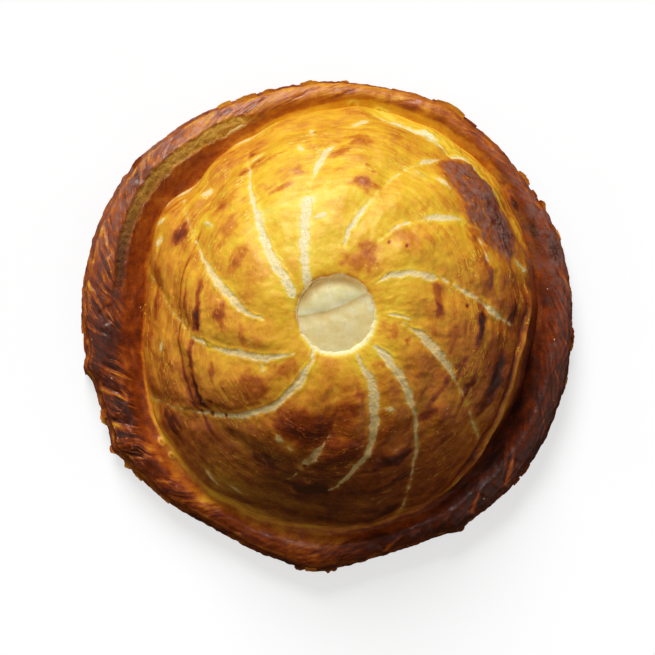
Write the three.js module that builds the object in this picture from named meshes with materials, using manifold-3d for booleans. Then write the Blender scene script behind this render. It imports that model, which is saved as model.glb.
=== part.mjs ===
// A round domed pie in puff pastry: a lid scored in a spiral round an open vent, a raised slashed rim,
// and a mound of filling under the lid with two potato slices showing in the vent.
// Millimetres and degrees, +Z up, the origin under the middle of the footprint.
import * as THREE from "three";
import { mergeVertices } from "three/addons/utils/BufferGeometryUtils.js";
import Module from "manifold-3d";

// Heights of the pie above what it rests on
const CROWN_HEIGHT = 70;
const GROOVE_HEIGHT = 9.5;
const RIDGE_HEIGHT = 17.5;
const EDGE_HEIGHT = 9;
const BASE_THICKNESS = 4.5;
const LID_THICKNESS = 3.2;

// Radii of the footprint, of the dome where it meets the groove, and of the vent
const RIM_RADIUS = 99.4;
const FOOT_RADIUS = 82;
const WALL_AT_FOOT = 4.4;
const VENT_RADIUS = 15;
const VENT_TAPER = 1.4;
const DOME_AXIS = new THREE.Vector2(3.5, 4.8);

// How far the dome's section is from a half ellipse, which is 1
const DOME_SECTION = 1.04;

// The foot is a little longer to the back and front than across: cosine and sine of one and two turns
const FOOT_UNEVENNESS = [
  { turns: 1, cosine: 2.2, sine: -1.2 },
  { turns: 2, cosine: -2.9, sine: 1.9 },
];

// Low lumps of the lid over what is under it: height, wave lengths along X and Y, and start
const LID_LUMPS = [
  { height: 0.5, along: 62, across: 85, start: 0.8 },
  { height: 0.35, along: 88, across: 88, start: 2.1 },
  { height: 0.3, along: 107, across: -53, start: 0 },
];

// Section of the rim from the groove, where across is 0, over the ridge to the edge, where it is 1
const RIM_SECTION = [
  { across: 0.16, height: 11.8 },
  { across: 0.34, height: 15.6 },
  { across: 0.52, height: RIDGE_HEIGHT },
  { across: 0.72, height: 16.6 },
  { across: 0.89, height: 13.4 },
  { across: 1, height: EDGE_HEIGHT },
];

// Layers of the side under the edge: how far each stands back from the edge and its height
const SIDE_SECTION = [
  { back: 1.3, height: 7.4 },
  { back: 0.3, height: 5.6 },
  { back: 1.5, height: 3.8 },
  { back: 0.8, height: 1.8 },
  { back: 3, height: 0 },
];

// Long swells of the footprint and the flakes that stand out of its edge
const OUTLINE_SWELLS = [
  { at: 20, spread: 10, by: 1.6 },
  { at: 57, spread: 18, by: 1.8 },
  { at: 104, spread: 12, by: -1.2 },
  { at: 145, spread: 22, by: 2.8 },
  { at: 195, spread: 12, by: -2 },
  { at: 241, spread: 20, by: -5.4 },
  { at: 289, spread: 18, by: -4 },
];
const EDGE_FLAKES = [
  { at: 62, spread: 2.5, by: 1.2 },
  { at: 190, spread: 2.5, by: 2.4 },
  { at: 210, spread: 3, by: 1.8 },
  { at: 267, spread: 6, by: 1.6 },
  { at: 302, spread: 2.5, by: 1.2 },
];

// Spiral scores: the angle at the three marking radii, where the cut starts and ends, and its width
const MARKING_RADII = [20, 45, 75];
const SCORES = [
  { angles: [35, 15, -7], from: 19, to: 74, width: 2.8 },
  { angles: [72, 50, 23], from: 36, to: 68, width: 2 },
  { angles: [86, 73.5, 57], from: 24, to: 75, width: 2.8 },
  { angles: [129, 104, 83], from: 18, to: 76, width: 4.2 },
  { angles: [151, 133, 118], from: 17, to: 70, width: 3.6 },
  { angles: [192, 170, 147], from: 26, to: 75, width: 4.2 },
  { angles: [221, 202, 176], from: 24, to: 76, width: 2.6 },
  { angles: [245, 236.5, 211], from: 18, to: 81, width: 3.6 },
  { angles: [272, 266.5, 243], from: 26, to: 78, width: 1.8 },
  { angles: [297, 290.5, 260], from: 18, to: 72, width: 4.4 },
  { angles: [320, 311, 292], from: 20, to: 81, width: 3.6 },
  { angles: [352, 339.5, 321], from: 19, to: 78, width: 3.4 },
];
const SCORE_DEPTH = 1.3;
const SCORE_LIP = 0.35;
const SCORE_FADE = 9;
const PANEL_PUFF = 0.7;
const PUFF_FROM = 40;
const SCORED_TO = 0.82;

// Fold of dough along the foot of the dome
const FOLD = { at: -29, spread: 34, radius: 75, width: 3.2, height: 1.1 };

// Slashes across the rim, each a dark gap beside a raised lip, running out clockwise
const SLASHES = 32;
const SLASH_SLANT = 7;
const SLASH_DEPTH = 1.6;
const SLASH_LIP = 0.9;
const SLASH_LIP_AT = 0.11;
const PANEL_MIDDLE_AT = 0.55;
const SLASH_FROM = 0.3;
const SLASH_FULL = 0.6;
const SLASH_AT_EDGE = 0.5;

// Filling and potato slices
const LINING_GAP = 0.5;
const CROWN_GAP = 1.5;
const SLICE_RADIUS = 29;
const SLICE_WAVES = [
  { waves: 3, share: 0.03, start: 0 },
  { waves: 5, share: 0.02, start: 1 },
  { waves: 9, share: 0.012, start: 0 },
];
const SLICE_THICKNESS = 2.2;
const SLICE_CLEARANCE = 0.4;
const POCKET_RISE = 2;
const UPPER_SLICE = { middle: new THREE.Vector2(-11.4, 29), under: 1.2, turn: 20 };
const LOWER_SLICE = { middle: new THREE.Vector2(5, -8), under: 3.9, turn: 145 };
const VENT_WELL_RADIUS = 16;
const VENT_WELL_DEPTH = 5;

// Fineness of the solids
const COLUMNS_PER_SCORE = 8;
const COLUMNS = SCORES.length * COLUMNS_PER_SCORE;
const DOME_RINGS = 16;
const UNDERSIDE_RINGS = 7;
const MOUND_COLUMNS = 48;
const MOUND_RINGS = 9;
const SLICE_COLUMNS = 36;
const SLICE_RINGS = 4;
const SEED = 11;

const { lerp, smoothstep, degToRad, radToDeg } = THREE.MathUtils;

// Repeatable draw of numbers from 0 to 1
function drawFrom(seed) {
  let state = seed;
  return () => {
    state = (state * 1664525 + 1013904223) % 4294967296;
    return state / 4294967296;
  };
}

// Point on a circle about a middle
function around(middle, radius, angle, height) {
  const turn = degToRad(angle);
  return new THREE.Vector3(
    middle.x + radius * Math.cos(turn),
    middle.y + radius * Math.sin(turn),
    height,
  );
}

// Rounded bump of height 1 at an angle, 0 well away from it
function bump(angle, at, spread) {
  const away = THREE.MathUtils.euclideanModulo(angle - at + 180, 360) - 180;
  return Math.exp(-((away / spread) ** 2));
}

// Radius of the footprint about the origin
function outline(angle) {
  return [...OUTLINE_SWELLS, ...EDGE_FLAKES].reduce(
    (radius, swell) => radius + swell.by * bump(angle, swell.at, swell.spread),
    RIM_RADIUS,
  );
}

// Radius of the dome's foot about the dome's axis
function foot(angle) {
  return FOOT_UNEVENNESS.reduce((radius, { turns, cosine, sine }) => {
    const turn = degToRad(turns * angle);
    return radius + cosine * Math.cos(turn) + sine * Math.sin(turn);
  }, FOOT_RADIUS);
}

// Section of the dome: 1 on the axis, 0 at the foot, where share is 1
function domeSection(share) {
  const cut = Math.sqrt(DOME_SECTION ** 2 - 1);
  const rise = Math.sqrt(Math.max(DOME_SECTION ** 2 - Math.min(share, 1) ** 2, 0));
  return (rise - cut) / (DOME_SECTION - cut);
}

// Low unevenness of the lid over a point
function lumps(x, y) {
  return LID_LUMPS.reduce((sum, { height, along, across, start }) => {
    const phase = 2 * Math.PI * (x / along + y / across);
    return sum + height * Math.sin(phase + start);
  }, 0);
}

// Height of the lid's underside over a point measured from the dome's axis
function undersideHeight(x, y) {
  const angle = radToDeg(Math.atan2(y, x));
  const share = Math.hypot(x, y) / (foot(angle) - WALL_AT_FOOT);
  const rise = CROWN_HEIGHT - LID_THICKNESS - BASE_THICKNESS;
  return BASE_THICKNESS + rise * domeSection(share);
}

// Angle of a score at a radius, on the parabola through its three marks
function scoreAngle(score, radius) {
  return MARKING_RADII.reduce((sum, mark, index) => {
    const others = MARKING_RADII.filter((_, other) => other !== index);
    const weight = others.reduce((part, other) => (part * (radius - other)) / (mark - other), 1);
    return sum + weight * score.angles[index];
  }, 0);
}

// Share of a score's full depth at a radius, fading out at both ends
function scoreOpening(score, radius) {
  const start = smoothstep(radius, score.from, score.from + SCORE_FADE);
  const end = 1 - smoothstep(radius, score.to - SCORE_FADE, score.to);
  return start * end;
}

// Columns of the lid at a radius: each score has two lips and a floor of two columns,
// and the panel up to the next score takes the rest. Lift is along the lid's normal.
function lidColumns(radius) {
  const columns = [];
  SCORES.forEach((score, index) => {
    const next = SCORES[(index + 1) % SCORES.length];
    const turn = index + 1 === SCORES.length ? 360 : 0;
    const half = radToDeg(score.width / 2 / radius);
    const nextHalf = radToDeg(next.width / 2 / radius);
    const middle = scoreAngle(score, radius);
    const opening = scoreOpening(score, radius);
    columns.push({ angle: middle - half, lift: SCORE_LIP * opening });
    columns.push({ angle: middle - half / 2, lift: -SCORE_DEPTH * opening });
    columns.push({ angle: middle + half / 2, lift: -SCORE_DEPTH * opening });
    columns.push({ angle: middle + half, lift: SCORE_LIP * opening });
    const start = middle + half;
    const end = scoreAngle(next, radius) + turn - nextHalf;
    const panelColumns = COLUMNS_PER_SCORE - 4;
    for (let step = 1; step <= panelColumns; step++) {
      const across = step / (panelColumns + 1);
      columns.push({
        angle: lerp(start, end, across),
        lift: PANEL_PUFF * Math.sin(Math.PI * across) * smoothstep(radius, VENT_RADIUS, PUFF_FROM),
      });
    }
  });
  return columns;
}

// Columns of the rim: each slash has its floor, its raised lip and the middle of the next panel
const draw = drawFrom(SEED);
const slashes = Array.from({ length: SLASHES }, () => ({
  depth: SLASH_DEPTH * lerp(0.6, 1.2, draw()),
  lip: SLASH_LIP * lerp(0.5, 1.3, draw()),
  sway: lerp(-1.2, 1.2, draw()),
}));
const pitch = 360 / SLASHES;
const columnsPerSlash = COLUMNS / SLASHES;
const lidEdge = lidColumns(MARKING_RADII[2]);
const rimStart =
  lidEdge.reduce((sum, column, index) => sum + column.angle - (index * 360) / COLUMNS, 0) / COLUMNS;
const rimColumns = Array.from({ length: COLUMNS }, (_, index) => {
  const slash = slashes[Math.floor(index / columnsPerSlash)];
  const within = index % columnsPerSlash;
  const offset = [0, SLASH_LIP_AT, PANEL_MIDDLE_AT][within] * pitch;
  return {
    angle: rimStart + Math.floor(index / columnsPerSlash) * pitch + offset + slash.sway,
    lift: [-slash.depth, slash.lip, SLASH_LIP / 2][within],
  };
});

// Outer face of the lid at a radius from the vent to the foot
function lidPoint(column, radius) {
  const toRim = smoothstep(radius, SCORED_TO * FOOT_RADIUS, FOOT_RADIUS);
  const scored = lidColumns(radius)[column];
  const angle = lerp(scored.angle, rimColumns[column].angle, toRim);
  const share = (radius - VENT_RADIUS) / (FOOT_RADIUS - VENT_RADIUS);
  const reach = lerp(VENT_RADIUS, foot(angle), share);
  const section = domeSection(radius / FOOT_RADIUS);
  const point = around(DOME_AXIS, reach, angle, lerp(GROOVE_HEIGHT, CROWN_HEIGHT, section));
  const foldAcross = Math.exp(-(((radius - FOLD.radius) / FOLD.width) ** 2));
  const fold = FOLD.height * foldAcross * bump(angle, FOLD.at, FOLD.spread);
  const lift = (scored.lift + lumps(point.x, point.y)) * (1 - toRim) + fold;
  const slope = Math.asin(Math.min(radius / FOOT_RADIUS / DOME_SECTION, 1));
  const outward = around(new THREE.Vector2(), lift * Math.sin(slope), angle, lift * Math.cos(slope));
  return point.add(outward);
}

// Point of the footprint's edge that a column of the rim runs out to
function edgePoint(column, back, height) {
  const inner = lidPoint(column, FOOT_RADIUS);
  const angle = radToDeg(Math.atan2(inner.y, inner.x)) - SLASH_SLANT;
  return around(new THREE.Vector2(), outline(angle) - back, angle, height);
}

function rimPoint(column, step) {
  const edge = edgePoint(column, 0, EDGE_HEIGHT);
  const point = lidPoint(column, FOOT_RADIUS).lerp(edge, step.across);
  const start = smoothstep(step.across, SLASH_FROM, SLASH_FULL);
  const end = lerp(1, SLASH_AT_EDGE, smoothstep(step.across, 0.85, 1));
  point.z = step.height + rimColumns[column].lift * start * end;
  return point;
}

// Underside of the lid and the floor of the hollow, in even columns
function undersidePoint(column, share) {
  const angle = rimStart + (column * 360) / COLUMNS;
  const least = VENT_RADIUS - VENT_TAPER;
  const reach = lerp(least, foot(angle) - WALL_AT_FOOT, share);
  const spot = around(new THREE.Vector2(), reach, angle, 0);
  spot.z = undersideHeight(spot.x, spot.y);
  return spot.add(new THREE.Vector3(DOME_AXIS.x, DOME_AXIS.y, 0));
}

// Welded geometry without the triangles that shrink to a line at an axis
function weld(geometry) {
  geometry.deleteAttribute("uv");
  geometry.deleteAttribute("normal");
  const welded = mergeVertices(geometry, 1e-4);
  const corners = welded.index.array;
  const kept = [];
  for (let i = 0; i < corners.length; i += 3) {
    const [a, b, c] = corners.slice(i, i + 3);
    if (a !== b && b !== c && c !== a) {
      kept.push(a, b, c);
    }
  }
  welded.setIndex(kept);
  welded.computeVertexNormals();
  return welded;
}

// Closed solid through a stack of rings, each a function from column to point.
// The stack starts and ends on an axis and runs up the outside.
function ringSolid(rings, columns) {
  const profile = rings.map((_, row) => new THREE.Vector2(1, row));
  const geometry = new THREE.LatheGeometry(profile, columns);
  const position = geometry.getAttribute("position");
  for (let column = 0; column <= columns; column++) {
    rings.forEach((ring, row) => {
      const point = ring(column % columns);
      position.setXYZ(column * rings.length + row, point.x, point.y, point.z);
    });
  }
  return weld(geometry);
}

function pastryGeometry() {
  const axisPoint = (height) => () => new THREE.Vector3(DOME_AXIS.x, DOME_AXIS.y, height);
  const rings = [axisPoint(0)];
  for (const share of [0.45, 0.85]) {
    rings.push((column) => edgePoint(column, 0, 0).lerp(axisPoint(0)(), 1 - share));
  }
  for (const layer of [...SIDE_SECTION].reverse()) {
    rings.push((column) => edgePoint(column, layer.back, layer.height));
  }
  for (const step of [...RIM_SECTION].reverse()) {
    rings.push((column) => rimPoint(column, step));
  }
  const steepest = Math.asin(1 / DOME_SECTION);
  const flattest = Math.asin(VENT_RADIUS / FOOT_RADIUS / DOME_SECTION);
  for (let ring = 0; ring <= DOME_RINGS; ring++) {
    const slope = lerp(steepest, flattest, ring / DOME_RINGS);
    const radius = FOOT_RADIUS * DOME_SECTION * Math.sin(slope);
    rings.push((column) => lidPoint(column, radius));
  }
  for (let ring = 0; ring <= UNDERSIDE_RINGS; ring++) {
    const share = Math.sin(((ring / UNDERSIDE_RINGS) * Math.PI) / 2);
    rings.push((column) => undersidePoint(column, share));
  }
  rings.push((column) => undersidePoint(column, 1).lerp(axisPoint(BASE_THICKNESS)(), 0.5));
  rings.push(axisPoint(BASE_THICKNESS));
  return ringSolid(rings, COLUMNS);
}

// Potato slice that follows the dome, measured from the dome's axis.
// Its pocket in the filling is swollen at the edge and the underside, and rises above it.
function sliceGeometry(slice, swell = 0, rise = 0) {
  const point = (column, share, down) => {
    const angle = (column * 360) / SLICE_COLUMNS + slice.turn;
    const wavy = SLICE_WAVES.reduce(
      (sum, wave) => sum + wave.share * Math.sin(wave.waves * degToRad(angle) + wave.start),
      1,
    );
    const spot = around(slice.middle, share * (SLICE_RADIUS * wavy + swell), angle, 0);
    spot.z = undersideHeight(spot.x, spot.y) - slice.under - down;
    return spot;
  };
  const rings = [];
  for (let ring = 0; ring <= SLICE_RINGS; ring++) {
    rings.push((column) => point(column, ring / SLICE_RINGS, SLICE_THICKNESS + swell));
  }
  for (let ring = SLICE_RINGS; ring >= 0; ring--) {
    rings.push((column) => point(column, ring / SLICE_RINGS, -rise));
  }
  return ringSolid(rings, SLICE_COLUMNS);
}

// Mound of filling under the lid, before the slices and the vent are cut into it
function moundGeometry() {
  const point = (column, share) => {
    const angle = (column * 360) / MOUND_COLUMNS;
    const reach = share * (foot(angle) - WALL_AT_FOOT - LINING_GAP);
    const spot = around(new THREE.Vector2(), reach, angle, 0);
    spot.z = undersideHeight(spot.x, spot.y) - lerp(CROWN_GAP, LINING_GAP, share ** 2);
    return spot;
  };
  const floor = BASE_THICKNESS + LINING_GAP;
  const rings = [];
  for (const share of [0, 0.5, 0.995]) {
    rings.push((column) => point(column, share).setZ(floor));
  }
  for (let ring = 1; ring <= MOUND_RINGS; ring++) {
    const share = Math.cos(((ring / MOUND_RINGS) * Math.PI) / 2);
    rings.push((column) => point(column, share));
  }
  return ringSolid(rings, MOUND_COLUMNS);
}

// Cuts by solid booleans
const wasm = await Module();
wasm.setup();

function solid(geometry) {
  const vertProperties = new Float32Array(geometry.getAttribute("position").array);
  const triVerts = new Uint32Array(geometry.index.array);
  return new wasm.Manifold(new wasm.Mesh({ numProp: 3, vertProperties, triVerts }));
}

function geometryOf(manifold) {
  const mesh = manifold.getMesh();
  const geometry = new THREE.BufferGeometry();
  geometry.setAttribute("position", new THREE.BufferAttribute(mesh.vertProperties, 3));
  geometry.setIndex(new THREE.BufferAttribute(mesh.triVerts, 1));
  geometry.computeVertexNormals();
  return geometry;
}

function fillingGeometry() {
  const top = CROWN_HEIGHT - LID_THICKNESS;
  const well = new THREE.CylinderGeometry(VENT_WELL_RADIUS, VENT_WELL_RADIUS, 2 * VENT_WELL_DEPTH, 32);
  well.rotateX(Math.PI / 2);
  well.translate(0, 0, top);
  return geometryOf(
    solid(moundGeometry())
      .subtract(solid(sliceGeometry(UPPER_SLICE, SLICE_CLEARANCE, POCKET_RISE)))
      .subtract(solid(sliceGeometry(LOWER_SLICE, SLICE_CLEARANCE, SLICE_CLEARANCE)))
      .subtract(solid(weld(well))),
  );
}

function finish(color, roughness) {
  return new THREE.MeshStandardMaterial({ color, roughness, metalness: 0 });
}

function part(name, geometry, material) {
  const mesh = new THREE.Mesh(geometry, material);
  mesh.name = name;
  return mesh;
}

const underLid = new THREE.Group();
underLid.position.set(DOME_AXIS.x, DOME_AXIS.y, 0);
underLid.add(part("filling", fillingGeometry(), finish(0xe2d39a, 0.6)));
underLid.add(part("potato_slice_upper", sliceGeometry(UPPER_SLICE), finish(0xe6d8a0, 0.45)));
underLid.add(part("potato_slice_lower", sliceGeometry(LOWER_SLICE), finish(0xe4d69c, 0.45)));

const pastry = part("pastry", pastryGeometry(), finish(0xb8701c, 0.4));
pastry.geometry.computeBoundingBox();
const middle = pastry.geometry.boundingBox.getCenter(new THREE.Vector3());

const pie = new THREE.Group();
pie.position.set(-middle.x, -middle.y, 0);
pie.add(pastry, underLid);

const wholePie = new THREE.Group();
wholePie.add(pie);

export default wholePie;
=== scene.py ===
"""Looks of a round domed pie in puff pastry: a scored lid round a vent, and a raised slashed rim.

Sizes are in millimetres and angles in degrees, counter-clockwise from +X, and meshes are written in metres.
Radii and angles of the lid are about the axis of the dome, and those of the rim are about the origin.
"""

import logging
import math
import random
from dataclasses import dataclass
from enum import Enum
from typing import Any, ClassVar, Iterable, Sequence

import bmesh
import bpy
import numpy as np
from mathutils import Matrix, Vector, noise


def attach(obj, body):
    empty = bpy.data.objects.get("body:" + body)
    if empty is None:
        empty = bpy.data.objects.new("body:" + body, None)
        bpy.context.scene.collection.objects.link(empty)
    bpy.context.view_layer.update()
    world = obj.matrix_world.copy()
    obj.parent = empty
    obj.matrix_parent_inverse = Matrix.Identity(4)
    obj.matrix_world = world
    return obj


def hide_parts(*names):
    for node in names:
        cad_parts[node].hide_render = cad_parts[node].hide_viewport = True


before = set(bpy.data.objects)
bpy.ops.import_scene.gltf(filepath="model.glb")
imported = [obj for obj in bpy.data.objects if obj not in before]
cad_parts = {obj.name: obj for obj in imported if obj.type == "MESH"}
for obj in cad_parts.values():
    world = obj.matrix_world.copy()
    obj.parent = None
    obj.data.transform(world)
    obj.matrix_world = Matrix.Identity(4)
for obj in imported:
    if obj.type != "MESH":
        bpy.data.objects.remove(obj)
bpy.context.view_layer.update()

Array = np.ndarray
Colour = tuple[float, float, float]
Stops = dict[float, Colour]
Span = tuple[float, float, float, float]
Socket = bpy.types.NodeSocket
MM = 0.001
BODY = "root"
CRISP_CORNER = math.radians(48.0)
HAIR = 1e-4
FAR = 99.0
# How far inside an opening a point lies: far from any, and the most that a finish reads
SHUT = -6.0
MOST_OPEN = 3.0
log = logging.getLogger("pithivier")


class Mark(Enum):
    """Values that a piece carries on its points for its finish."""

    BAKE = "bake"
    OPENING = "opening"
    # matte unwashed crust on the rim, and painted shade on the lid's front and on the potato slices
    DULL_AND_SHADE = "dull"
    # painted sheen: a lavender reflection laid on dark crust as colour
    BLOOM = "bloom"
    STRAND = "strand"
    LEAN = "lean"


def smooth(value: Array, low: Any, high: Any) -> Array:
    """Soft step from 0 at low to 1 at high."""
    share = np.clip((value - low) / (high - low), 0.0, 1.0)
    return share * share * (3.0 - 2.0 * share)


def between(value: Array, start: float, full: float, fade: float, end: float) -> Array:
    """Soft share that is 0 up to start, 1 from full to fade, and 0 again from end on."""
    return smooth(value, start, full) * (1.0 - smooth(value, fade, end))


def bell(value: Array, spread: float) -> Array:
    """Rounded bump of height 1 where the value is 0."""
    return np.exp(-((value / spread) ** 2))


def turned(angle: Array, at: Any) -> Array:
    """Shortest signed turn from one angle to another, in degrees."""
    return (angle - at + 180.0) % 360.0 - 180.0


def near(angle: Array, at: float, spread: float) -> Array:
    """Rounded bump of height 1 at an angle."""
    return bell(turned(angle, at), spread)


def mix(start: Any, end: Any, share: Any) -> Any:
    """Value that lies a share of the way from start to end."""
    return start + (end - start) * share


def rows(kind: type, *values: tuple) -> tuple:
    """One thing of a kind for each row of its values."""
    return tuple(kind(*value) for value in values)


def outward(turn: Array) -> Array:
    """Level vector of length 1 from the axis for each turn in radians."""
    return np.stack((np.cos(turn), np.sin(turn), np.zeros_like(turn)), 1)


def grain(points: Array, size: float, octaves: int = 3, shift: float = 0.37) -> Array:
    """Smooth unevenness over points, the same in each run.

    Args:
        points: places in millimetres, one row for each.
        size: width of the largest lumps.
        octaves: layers of lumps, each half as wide as the one before.
        shift: offset that makes one field unlike another.

    Returns:
        Values from about -1 to 1, one for each point.
    """
    places = (points / size + shift).tolist()
    return np.array([noise.fractal(place, 1.0, 2.0, octaves) for place in places])


def streaked(turn: Array, out: Array, around: float, length: float, octaves: int, shift: float) -> Array:
    """Unevenness that is drawn out round the pie or across it.

    Args:
        turn: angle of each point in radians.
        out: distance of each point from the middle, along the surface.
        around: streaks in a radian round the pie.
        length: extent of a streak along the distance.
        octaves: layers of streaks, each half as wide as the one before.
        shift: offset that makes one field unlike another.

    Returns:
        Values from about -1 to 1, one for each point.
    """
    places = outward(turn) * around
    places[:, 2] = out / length
    return grain(places, 1.0, octaves, shift)


@dataclass(frozen=True)
class Course:
    """Measure that changes between stops, along an angle or a radius. A closed one runs all round the pie."""

    stops: dict[float, float]
    closed: bool = False

    def at(self, place: Array) -> Array:
        """Measure at each place."""
        period = 360.0 if self.closed else None
        return np.interp(place, tuple(self.stops), tuple(self.stops.values()), period=period)


GROOVE_BAKE = Course(
    {0: 0.80, 15: 0.80, 25: 0.76, 60: 0.46, 90: 0.37, 108: 0.42, 125: 0.64, 150: 0.66, 175: 0.60, 190: 0.57,
     205: 0.45, 235: 0.39, 255: 0.46, 272: 0.55, 290: 0.60, 305: 0.74, 330: 0.90, 350: 0.84},
    closed=True,
)


class Level:
    """Number that varies over a surface: a node's output with Python's arithmetic."""

    def __init__(self, recipe: "Recipe", socket: Socket) -> None:
        """Keeps the output and the recipe that it belongs to."""
        self.recipe = recipe
        self.socket = socket

    def _math(self, operation: str, first: Any, second: Any) -> "Level":
        """Adds a Math node on two values or outputs."""
        inputs = {"Value": first, "Value_001": second}
        return self.recipe.level("ShaderNodeMath", {"operation": operation}, inputs, "Value")

    def __add__(self, other: Any) -> "Level":
        """Sum."""
        return self._math("ADD", self, other)

    def __radd__(self, other: Any) -> "Level":
        """Sum with the number first."""
        return self._math("ADD", other, self)

    def __sub__(self, other: Any) -> "Level":
        """Difference."""
        return self._math("SUBTRACT", self, other)

    def __rsub__(self, other: Any) -> "Level":
        """Difference with the number first."""
        return self._math("SUBTRACT", other, self)

    def __mul__(self, other: Any) -> "Level":
        """Product."""
        return self._math("MULTIPLY", self, other)

    def __rmul__(self, other: Any) -> "Level":
        """Product with the number first."""
        return self._math("MULTIPLY", other, self)

    def step(self, low: float, high: float) -> "Level":
        """Soft step of this value from 0 at low to 1 at high."""
        settings = {"interpolation_type": "SMOOTHSTEP"}
        inputs = {"Value": self, "From Min": low, "From Max": high}
        return self.recipe.level("ShaderNodeMapRange", settings, inputs, "Result")


class Recipe:
    """Material that is built up node by node."""

    def __init__(self, name: str) -> None:
        """Starts an empty material with the piece's own coordinates in millimetres.

        Args:
            name: the material's name.
        """
        self.material = bpy.data.materials.new(name)
        self.material.use_nodes = True
        self.tree = self.material.node_tree
        self.tree.nodes.clear()
        self.place = self.scaled(self.node("ShaderNodeTexCoord").outputs["Object"], 1.0 / MM)

    def node(self, kind: str, settings: dict | None = None, inputs: dict | None = None) -> bpy.types.Node:
        """Adds a node.

        Args:
            kind: the node's type.
            settings: properties of the node, or the stops of a colour ramp as position to colour.
            inputs: values or links of its sockets, by the socket's identifier.

        Returns:
            The new node.
        """
        made = self.tree.nodes.new(kind)
        for name, value in (settings or {}).items():
            if name == "stops":
                self._set_stops(made.color_ramp, value)
            else:
                setattr(made, name, value)
        sockets = {socket.identifier: socket for socket in made.inputs}
        for name, value in (inputs or {}).items():
            source = value.socket if isinstance(value, Level) else value
            if isinstance(source, Socket):
                self.tree.links.new(source, sockets[name])
            else:
                sockets[name].default_value = source
        return made

    @staticmethod
    def _set_stops(ramp: bpy.types.ColorRamp, stops: Stops) -> None:
        """Gives a colour ramp its stops."""
        while len(ramp.elements) < len(stops):
            ramp.elements.new(1.0)
        for element, (position, colour) in zip(ramp.elements, sorted(stops.items())):
            element.position = position
            element.color = (*colour, 1.0)

    def level(self, kind: str, settings: dict, inputs: dict, output: str) -> Level:
        """Adds a node and gives one of its outputs as a number to reckon with."""
        return Level(self, self.node(kind, settings, inputs).outputs[output])

    def mark(self, name: Mark) -> Level:
        """Value that the piece carries on its points."""
        return self.level("ShaderNodeAttribute", {"attribute_name": name.value}, {}, "Fac")

    def scaled(self, vector: Socket, scale: Any) -> Socket:
        """Vector times a number."""
        inputs = {"Vector": vector, "Scale": scale}
        return self.node("ShaderNodeVectorMath", {"operation": "SCALE"}, inputs).outputs["Vector"]

    def vector(self, operation: str, first: Any, second: Any = (0.0, 0.0, 0.0)) -> Socket:
        """Vector that an operation makes of one vector or of two."""
        inputs = {"Vector": first, "Vector_001": second}
        return self.node("ShaderNodeVectorMath", {"operation": operation}, inputs).outputs["Vector"]

    def cloud(
        self, size: float, detail: float = 3.0, place: Any = None, rough: float = 0.55, swirl: float = 0.0
    ) -> Level:
        """Cloudy noise from 0 to 1.

        Args:
            size: width of its lumps in millimetres.
            detail: layers of finer lumps.
            place: coordinates to read, the piece's own if none are given.
            rough: strength of the finer lumps.
            swirl: how far the lumps are drawn into feathers.

        Returns:
            The noise.
        """
        inputs = {"Vector": place or self.place, "Scale": 1.0 / size, "Detail": detail, "Roughness": rough}
        inputs["Distortion"] = swirl
        return self.level("ShaderNodeTexNoise", {}, inputs, "Fac")

    def cells(self, size: float, output: str = "Distance") -> Level:
        """Distance in cells to the nearest of scattered points, or their random shade."""
        inputs = {"Vector": self.place, "Scale": 1.0 / size}
        return self.level("ShaderNodeTexVoronoi", {"feature": "F1"}, inputs, output)

    def contour(self, field: Level, width: float) -> Level:
        """Thin lines along which a field passes through its middle."""
        away = self.level("ShaderNodeMath", {"operation": "ABSOLUTE"}, {"Value": field - 0.5}, "Value")
        return 1.0 - away.step(0.0, width)

    def blend(self, first: Any, second: Any, share: Any) -> Socket:
        """Colour that goes from the first to the second as the share goes from 0 to 1."""
        paint = {"A_Color": first, "B_Color": second, "Factor_Float": share}
        shade = {key: (*value, 1.0) if isinstance(value, tuple) else value for key, value in paint.items()}
        mixed = self.node("ShaderNodeMix", {"data_type": "RGBA"}, shade)
        return next(socket for socket in mixed.outputs if socket.identifier == "Result_Color")

    def ramp(self, value: Level, stops: Stops) -> Socket:
        """Colour of a value on a ramp of stops."""
        return self.node("ShaderNodeValToRGB", {"stops": stops}, {"Fac": value}).outputs["Color"]

    def bump(self, height: Level, depth: float, strength: float = 1.0) -> Socket:
        """Normal of a surface with fine relief, whose full height is the depth in millimetres."""
        inputs = {"Height": height, "Distance": depth * MM, "Strength": strength}
        return self.node("ShaderNodeBump", {}, inputs).outputs["Normal"]

    def close(self, inputs: dict) -> bpy.types.Material:
        """Ends the recipe in a shaded surface.

        Args:
            inputs: values or links of the surface's sockets.

        Returns:
            The finished material.
        """
        surface = self.node("ShaderNodeBsdfPrincipled", {}, inputs)
        self.node("ShaderNodeOutputMaterial", {}, {"Surface": surface.outputs["BSDF"]})
        return self.material


@dataclass(frozen=True)
class Stroke:
    """Brush mark round the dome, or strand across the rim: arc in radians, width and finer layers."""

    arc: float
    width: float
    detail: float = 3.0


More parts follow.
